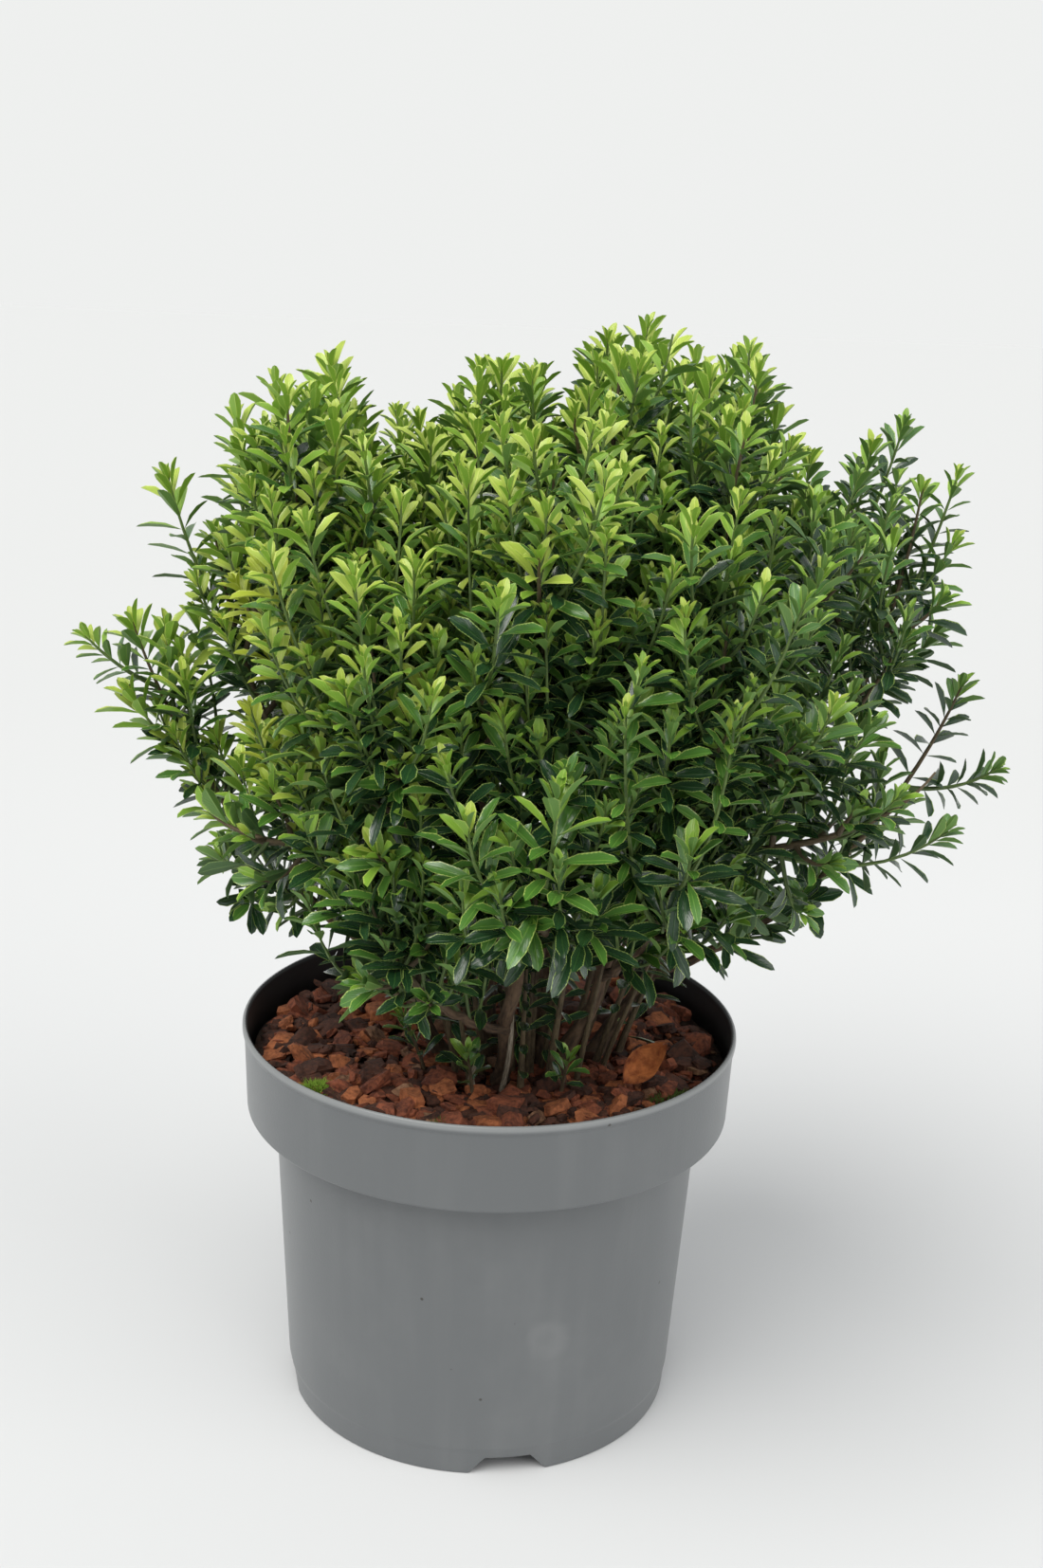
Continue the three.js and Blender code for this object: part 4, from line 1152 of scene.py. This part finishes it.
# Two bleached dead twigs on the stool
DEAD_TWIGS = np.array([
    [(8, -58, 184), (14, -64, 216), (10, -68, 246)],
    [(-5, -60, 184), (-8, -62, 191), (-5, -63, 198)],
], float)
dead_taper = np.array([[1.4], [1.9]]) * np.linspace(1, 0.62, 12)
dead_twigs = tube_piece("twigs_dead", DEAD_TWIGS, np.repeat(dead_taper[..., None], 8, axis=2))
paint(dead_twigs, [woody_material("dead_wood", (0.1, 0.08, 0.055), (0.5, 0.43, 0.33), 0.9, 0.12, 0.0008,
                                  (1, 0.2, 1), 0.85)])
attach(dead_twigs, "root")

twig_curves, twig_roots, twig_ranks, twig_masses = (np.array(column) for column in zip(*twigs))


def twig_piece(name, ranks, rings, sides):
    """The twigs of the given ranks. They taper to TWIG_TIP_RADIUS and swell at knots."""
    chosen = np.isin(twig_ranks, ranks)
    t = np.linspace(0, 1, rings)[None, :, None]
    taper = twig_roots[chosen, None, None] * (1 - t) + TWIG_TIP_RADIUS * t
    knots = 1 + 0.12 * np.abs(np.sin(t * 40 + np.arange(chosen.sum())[:, None, None]))
    return tube_piece(name, twig_curves[chosen], np.repeat(taper * knots, sides, axis=2), 0.0, 1.2)


old_twigs = twig_piece("twigs_old", [0, 1, 4, 7], 14, 6)
young_twigs = twig_piece("twigs_young", [2, 3], 9, 5)
paint(old_twigs, [woody_material("twig_brown", (0.045, 0.032, 0.018), (0.17, 0.125, 0.065), 1.2, 0.15,
                                 0.0004, (1, 0.2, 1), 0.7)])
paint(young_twigs, [woody_material("twig_green", (0.04, 0.07, 0.02), (0.15, 0.23, 0.055), 0.8, 0.1,
                                   0.0002, (1, 0.2, 1), 0.55)])
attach(old_twigs, "root")
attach(young_twigs, "root")


# Leaves
#
# Opposite pairs, each turned a quarter from the last, on every twig and shoot. A blade is narrow,
# blunt and leathery, folded up along its midrib, with a pale margin. The youngest are small, upright
# and lime green, and the old ones inside are dark. Painted light and shade also set their greens:
# lighter at the top and on the left, darker low down, in the middle and on the right.

# For each pair from a shoot's tip backwards: how far back it stands, how far it leans out, how long it
# is, its age, and how likely it is still there
NODE_BACK = np.array([0.8, 2.1, 4.2, 7, 10.4, 14.4, 18.9, 23.7, 28.9, 34.5, 40.7, 47.5, 55, 63, 72, 82, 93])
NODE_LEAN = np.array([0.12, 0.27, 0.43, 0.57, 0.7, 0.81, 0.9, 0.98, 1.04, 1.09, 1.12] + [1.15] * 6)
NODE_SIZE = np.array([5.8, 9.2, 12.2, 14.6, 16.2, 17.2, 17.9, 18.3, 18.6, 18.8, 19] + [19.2] * 6)
NODE_AGE = np.array([0, 0.02, 0.08, 0.18, 0.33, 0.52, 0.72, 0.9, 1.05, 1.2, 1.3] + [1.4] * 6)
NODE_KEPT = np.array([1] * 8 + [0.95, 0.88, 0.8, 0.7, 0.6, 0.5, 0.45, 0.4, 0.4])
LEAF_ASPECT = 0.355
LEAF_THICK = 0.35
BARE_FOOT = 7
BROAD_PAIRS = 6
NARROW_OVER = 22
LEAF_FULLNESS = 1.14
LEAF_MARGIN = 0.3
LARGER_UNDER = 355
THINNER_UNDER = 345
SMALLER_OVER = 430

# A blade's half width, as a share of its widest, at shares of its length
BLADE_SHARES = np.array([0.13, 0.42, 0.74, 0.93])
BLADE_HALVES = np.array([0.22, 0.82, 1, 0.56])

# One leaf: a point at the foot, four sections of left edge, rib, right edge and underside, and a
# point at the tip
across = np.zeros(18)
onward = np.zeros(18)
rib = np.zeros(18)
onward[1:17] = np.repeat(BLADE_SHARES, 4)
onward[17] = 1
across[1:17:4] = -BLADE_HALVES
across[3:17:4] = BLADE_HALVES
rib[2:17:4] = 0.5
rib[4:17:4] = -0.5
leaf_faces = []
section = [1, 2, 3, 4]
for a, b in zip(section, section[1:] + section[:1]):
    leaf_faces.append([0, a, b])
    for step in range(0, 12, 4):
        leaf_faces.append([a + step, a + step + 4, b + step + 4])
        leaf_faces.append([a + step, b + step + 4, b + step])
    leaf_faces.append([a + 12, 17, b + 12])
leaf_faces = np.array(leaf_faces)
leaf_under = np.repeat([0, 0, 1, 1], 8)

# How far the pairs stand apart on twigs of ranks 0 to 5
RANK_SPACING = [0.95, 0.95, 1, 1.05, 1, 1.6]

first_strong = int(np.argmax(twig_ranks == 3))
rows = []
for w, (curve, root, rank, m) in enumerate(twigs):
    if rank == 7:
        continue
    length = length_of(curve)
    height = curve[2][2]
    larger = STRONG_SHOOTS[w - first_strong][3] if rank == 3 else 0.85 if rank == 4 else 1
    more = 0.3 * np.clip((LARGER_UNDER - height) / 90, 0, 1) * (rank < 3)
    larger *= 1 + more - 0.06 * (height > SMALLER_OVER)
    back = NODE_BACK * (vary(w * 7 + 1, 0.16) * larger * RANK_SPACING[rank])
    likely = NODE_KEPT ** (0.3 if rank == 3 else 1)
    likely = likely * (1 - 0.3 * np.clip((THINNER_UNDER - height) / 60, 0, 1) * (rank < 3))
    grows = chance(w * 17 + np.arange(17) * 3) < likely
    pair = np.flatnonzero(grows & (back < length - BARE_FOOT))
    at = 1 - back[pair] / length
    centre = along(curve, at)
    tangent = heading(curve, at)
    side = unit(np.cross(tangent, (0.21, 0.34, 0.13)))
    turn = w * 1.7 + pair * math.pi / 2 + 0.35 * (chance(w * 29 + pair) - 0.5)
    for order in range(2):
        angle = (turn + order * math.pi)[:, None]
        spoke = side * np.cos(angle) + np.cross(tangent, side) * np.sin(angle)
        number = w * 61 + pair * 2 + order
        lean = (NODE_LEAN[pair] * vary(number, 0.22))[:, None]
        outward = tangent * np.cos(lean) + spoke * np.sin(lean)
        long = NODE_SIZE[pair] * vary(number + 0.3, 0.2) * vary(w, 0.17) * larger
        owner = np.full(len(pair), w)
        rows.append(np.column_stack([centre + spoke * 0.5, outward, tangent, long, owner, pair,
                                     chance(number + 0.6)]))
rows = np.concatenate(rows)
bases, blades, tangents = rows[:, 0:3], rows[:, 3:6], rows[:, 6:9]
sizes, luck = rows[:, 9], rows[:, 12]
owners, pairs = rows[:, 10:12].T.astype(int)
each = np.arange(len(rows))

uppers = tangents + np.array([0, 0, 0.45])
uppers = unit(uppers - blades * (uppers * blades).sum(1, keepdims=True))
rights = np.cross(blades, uppers)
roll = ((luck - 0.5) * 0.7)[:, None]
rolled = uppers * np.cos(roll) + rights * np.sin(roll)
rights = rights * np.cos(roll) - uppers * np.sin(roll)
uppers = rolled
aspect = LEAF_ASPECT + 0.04 * (pairs < BROAD_PAIRS) - 0.1 * (sizes > NARROW_OVER)
halves = sizes * aspect / 2 * (1 + 0.2 * (chance(each) - 0.5))
folds = 0.66 - 0.28 * np.clip(pairs / 8, 0, 1)
droops = 0.06 + 0.2 * chance(each * 3)
leaf_points = bases[:, None] + blades[:, None] * (sizes[:, None] * onward)[..., None]
leaf_points += rights[:, None] * (halves[:, None] * across * np.cos(folds)[:, None])[..., None]
height = halves[:, None] * np.abs(across) * np.sin(folds)[:, None] + LEAF_THICK * rib
height -= droops[:, None] * sizes[:, None] * onward ** 2
leaf_points += uppers[:, None] * height[..., None]

# Leaves are left out that would touch a limb or the pot, leave the room that the plant's solids take,
# or stand in an open place, where only those on arms and suckers stay
middles = leaf_points[:, 6]
ends = leaf_points[:, 17]
fits = clear_of_pot(middles) & clear_of_pot(ends) & clear_of(middles, limbs) & clear_of(ends, limbs)
fits &= (fullness(ends) < LEAF_FULLNESS) | leads[twig_masses[owners]] | (twig_ranks[owners] > 2)
ring_of_twig = np.array([mass["ring"] for mass in masses])[twig_masses]
on_arm = (twig_ranks > 2) | (twig_ranks == 0) & (ring_of_twig == "low")
fits &= ~in_the_open(middles) | on_arm[owners]
fits &= (leaf_points > solids_low + LEAF_MARGIN).all((1, 2))
fits &= (leaf_points < solids_high - LEAF_MARGIN).all((1, 2))

# Which green each pair wears: the young are lime and the old deep. Painted light and shade move it
# too: pairs at the top, on the outside and on the left get lighter greens, and those low down, in a
# shady patch in the crown's middle and on its right get darker ones. Some shoots on the left are
# yellowish.
YELLOW_PLACE = (-106, -80, 414)
YELLOW_REACH = (30, 50, 44)
SHADE_PLACE = (20, 375)
SHADE_REACH = (90, 55)
SHADE_UNDER = 350
DARK_UNDER = 318
GREENS_FROM = [0.28, 0.6, 0.92]
tip_x, tip_y, tip_z = twig_curves[:, 2].T
strong = twig_ranks == 3
off = (twig_curves[:, 2] - CROWN) / (205, 195, 200)
outer = np.clip(np.linalg.norm(off, axis=1), 0, 1.1)
# Painted light and shade: the greens grow lighter towards the top, the outside and the left, and darker low
# down, in the shady patch in the middle and on the right
light = 0.06 + 0.62 * outer ** 2 + 0.55 * off[:, 2] - 0.78 * off[:, 0] - 0.1 * off[:, 1]
light -= 0.36 * np.clip((SHADE_UNDER - tip_z) / 70, 0, 1) * np.where(strong, 0.5, 1)
shady = np.exp(-((tip_x - SHADE_PLACE[0]) / SHADE_REACH[0]) ** 2
               - ((tip_z - SHADE_PLACE[1]) / SHADE_REACH[1]) ** 2)
light += np.where(strong, 0.04, -0.34) * shady
light -= 0.45 * np.clip((DARK_UNDER - tip_z) / 30, 0, 1) * (twig_ranks != 4)
light += 0.5 * (twig_ranks == 4)
light += 0.5 * (chance(np.arange(len(twigs)) * 5 + 2) - 0.5)
oldest = np.where(strong & (tip_y < FRONT_Y), 0.6, 2)
age = np.minimum(NODE_AGE[pairs], oldest[owners]) - 0.07
age += 0.6 * (1 - np.clip(light, 0, 1.3))[owners] + 0.16 * (chance(owners * 3 + pairs) - 0.5)
greens = np.digitize(age, GREENS_FROM)
yellow_patch = np.linalg.norm((twig_curves[:, 2] - YELLOW_PLACE) / YELLOW_REACH, axis=1) < 1
yellow_patch &= (chance(np.arange(len(twigs)) * 13) > 0.2) & (fullness(twig_curves[:, 2]) > 0.78)
greens[yellow_patch[owners] & (pairs < 8)] = 4

# A leaf's skin from its UV, across and along: a toothed pale margin, a midrib and slanted veins that
# are sunk, and patches of a lighter green
leaf_skin, given, result = new_group("leaf_skin", {
    "Blade": (0.1, 0.3, 0.05, 1), "Margin": (0.4, 0.5, 0.1, 1), "Rib": (0.2, 0.4, 0.1, 1),
}, ["Color", "Height"])
tree = leaf_skin
coordinates = node(tree, "TexCoord").outputs
split = node(tree, "SeparateXYZ", {"Vector": coordinates["UV"]}).outputs
sideways = reckon(tree, "ABSOLUTE", reckon(tree, "SUBTRACT", split["X"], 0.5))
teeth = reckon(tree, "SINE", times(tree, split["Y"], 95.0))
margin = ramp(tree, reckon(tree, "MULTIPLY_ADD", teeth, 0.018, sideways), 0.42, 0.47)
midrib = ramp(tree, sideways, 0.07, 0.02)
slant = reckon(tree, "MULTIPLY_ADD", sideways, -0.9, split["Y"])
veins = ramp(tree, reckon(tree, "SINE", times(tree, slant, 52.0)), 0.75, 1.0)
patchy = noise(tree, coordinates["Object"], 38, 2)
lighter = blend(tree, times(tree, patchy, 0.5), given["Blade"], given["Rib"])
with_veins = blend(tree, times(tree, veins, 0.25), lighter, given["Rib"])
with_rib = blend(tree, midrib, with_veins, given["Rib"])
tree.links.new(blend(tree, margin, with_rib, given["Margin"]), result["Color"])
sunk = reckon(tree, "MAXIMUM", midrib, veins)
tree.links.new(reckon(tree, "SUBTRACT", 1.0, sunk), result["Height"])


def leaf_material(name, blade, margin, rib, roughness):
    """A leathery green. The smoothest ones also shine the most."""
    gloss = 0.9 if roughness < 0.3 else 0.65
    material, tree, inputs = new_material(name, Roughness=roughness, Specular_IOR_Level=gloss)
    colours = {"Blade": (*blade, 1), "Margin": (*margin, 1), "Rib": (*rib, 1)}
    dress(tree, inputs, leaf_skin, colours, 0.00012)
    return material


LEAF_LOOKS = [
    ("leaf_lime", (0.44, 0.6, 0.07), (0.74, 0.83, 0.25), (0.62, 0.72, 0.15), 0.34),
    ("leaf_bright", (0.21, 0.41, 0.038), (0.54, 0.68, 0.15), (0.36, 0.55, 0.08), 0.3),
    ("leaf_mid", (0.058, 0.18, 0.025), (0.46, 0.6, 0.14), (0.14, 0.3, 0.045), 0.22),
    ("leaf_deep", (0.01, 0.045, 0.017), (0.34, 0.46, 0.12), (0.034, 0.095, 0.024), 0.19),
    ("leaf_yellow", (0.46, 0.56, 0.04), (0.64, 0.72, 0.16), (0.56, 0.64, 0.1), 0.4),
    ("leaf_under", (0.11, 0.24, 0.045), (0.3, 0.42, 0.11), (0.2, 0.34, 0.08), 0.5),
    ("leaf_under_deep", (0.04, 0.1, 0.028), (0.16, 0.25, 0.07), (0.09, 0.17, 0.045), 0.5),
]
leaf_looks = [leaf_material(*look) for look in LEAF_LOOKS]

leaf_uv = np.stack([np.sign(across) / 2 + 0.5, onward], axis=1)
under_looks = np.array([1, 5, 5, 6, 4])
looks_of_leaf = np.where(leaf_under == 1, under_looks[greens][:, None], greens[:, None])
node_of_leaf = np.array(node_of_mass)[twig_masses[owners]]
LEAF_PIECES = [
    ("low", range(1, 7)), ("fill", range(1, 7)), ("mid_right", (1, 2, 6)), ("mid_left", (3, 4, 5)),
    ("upper_right", (1, 5, 6)), ("upper_left", (2, 3, 4)), ("top", range(1, 4)),
]
for label, which in LEAF_PIECES:
    replaced = [f"foliage_{label.split('_')[0]}_{k}" for k in which]
    here = fits & np.isin(node_of_leaf, replaced)
    count = here.sum()
    points = leaf_points[here].reshape(-1, 3)
    leaves = new_piece(f"leaves_{label}", points, copied(leaf_faces, count, 18), 1.0)
    set_uv(leaves, np.tile(leaf_uv, (count, 1)))
    paint(leaves, leaf_looks, looks_of_leaf[here])
    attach(leaves, "root")
    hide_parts(*replaced)
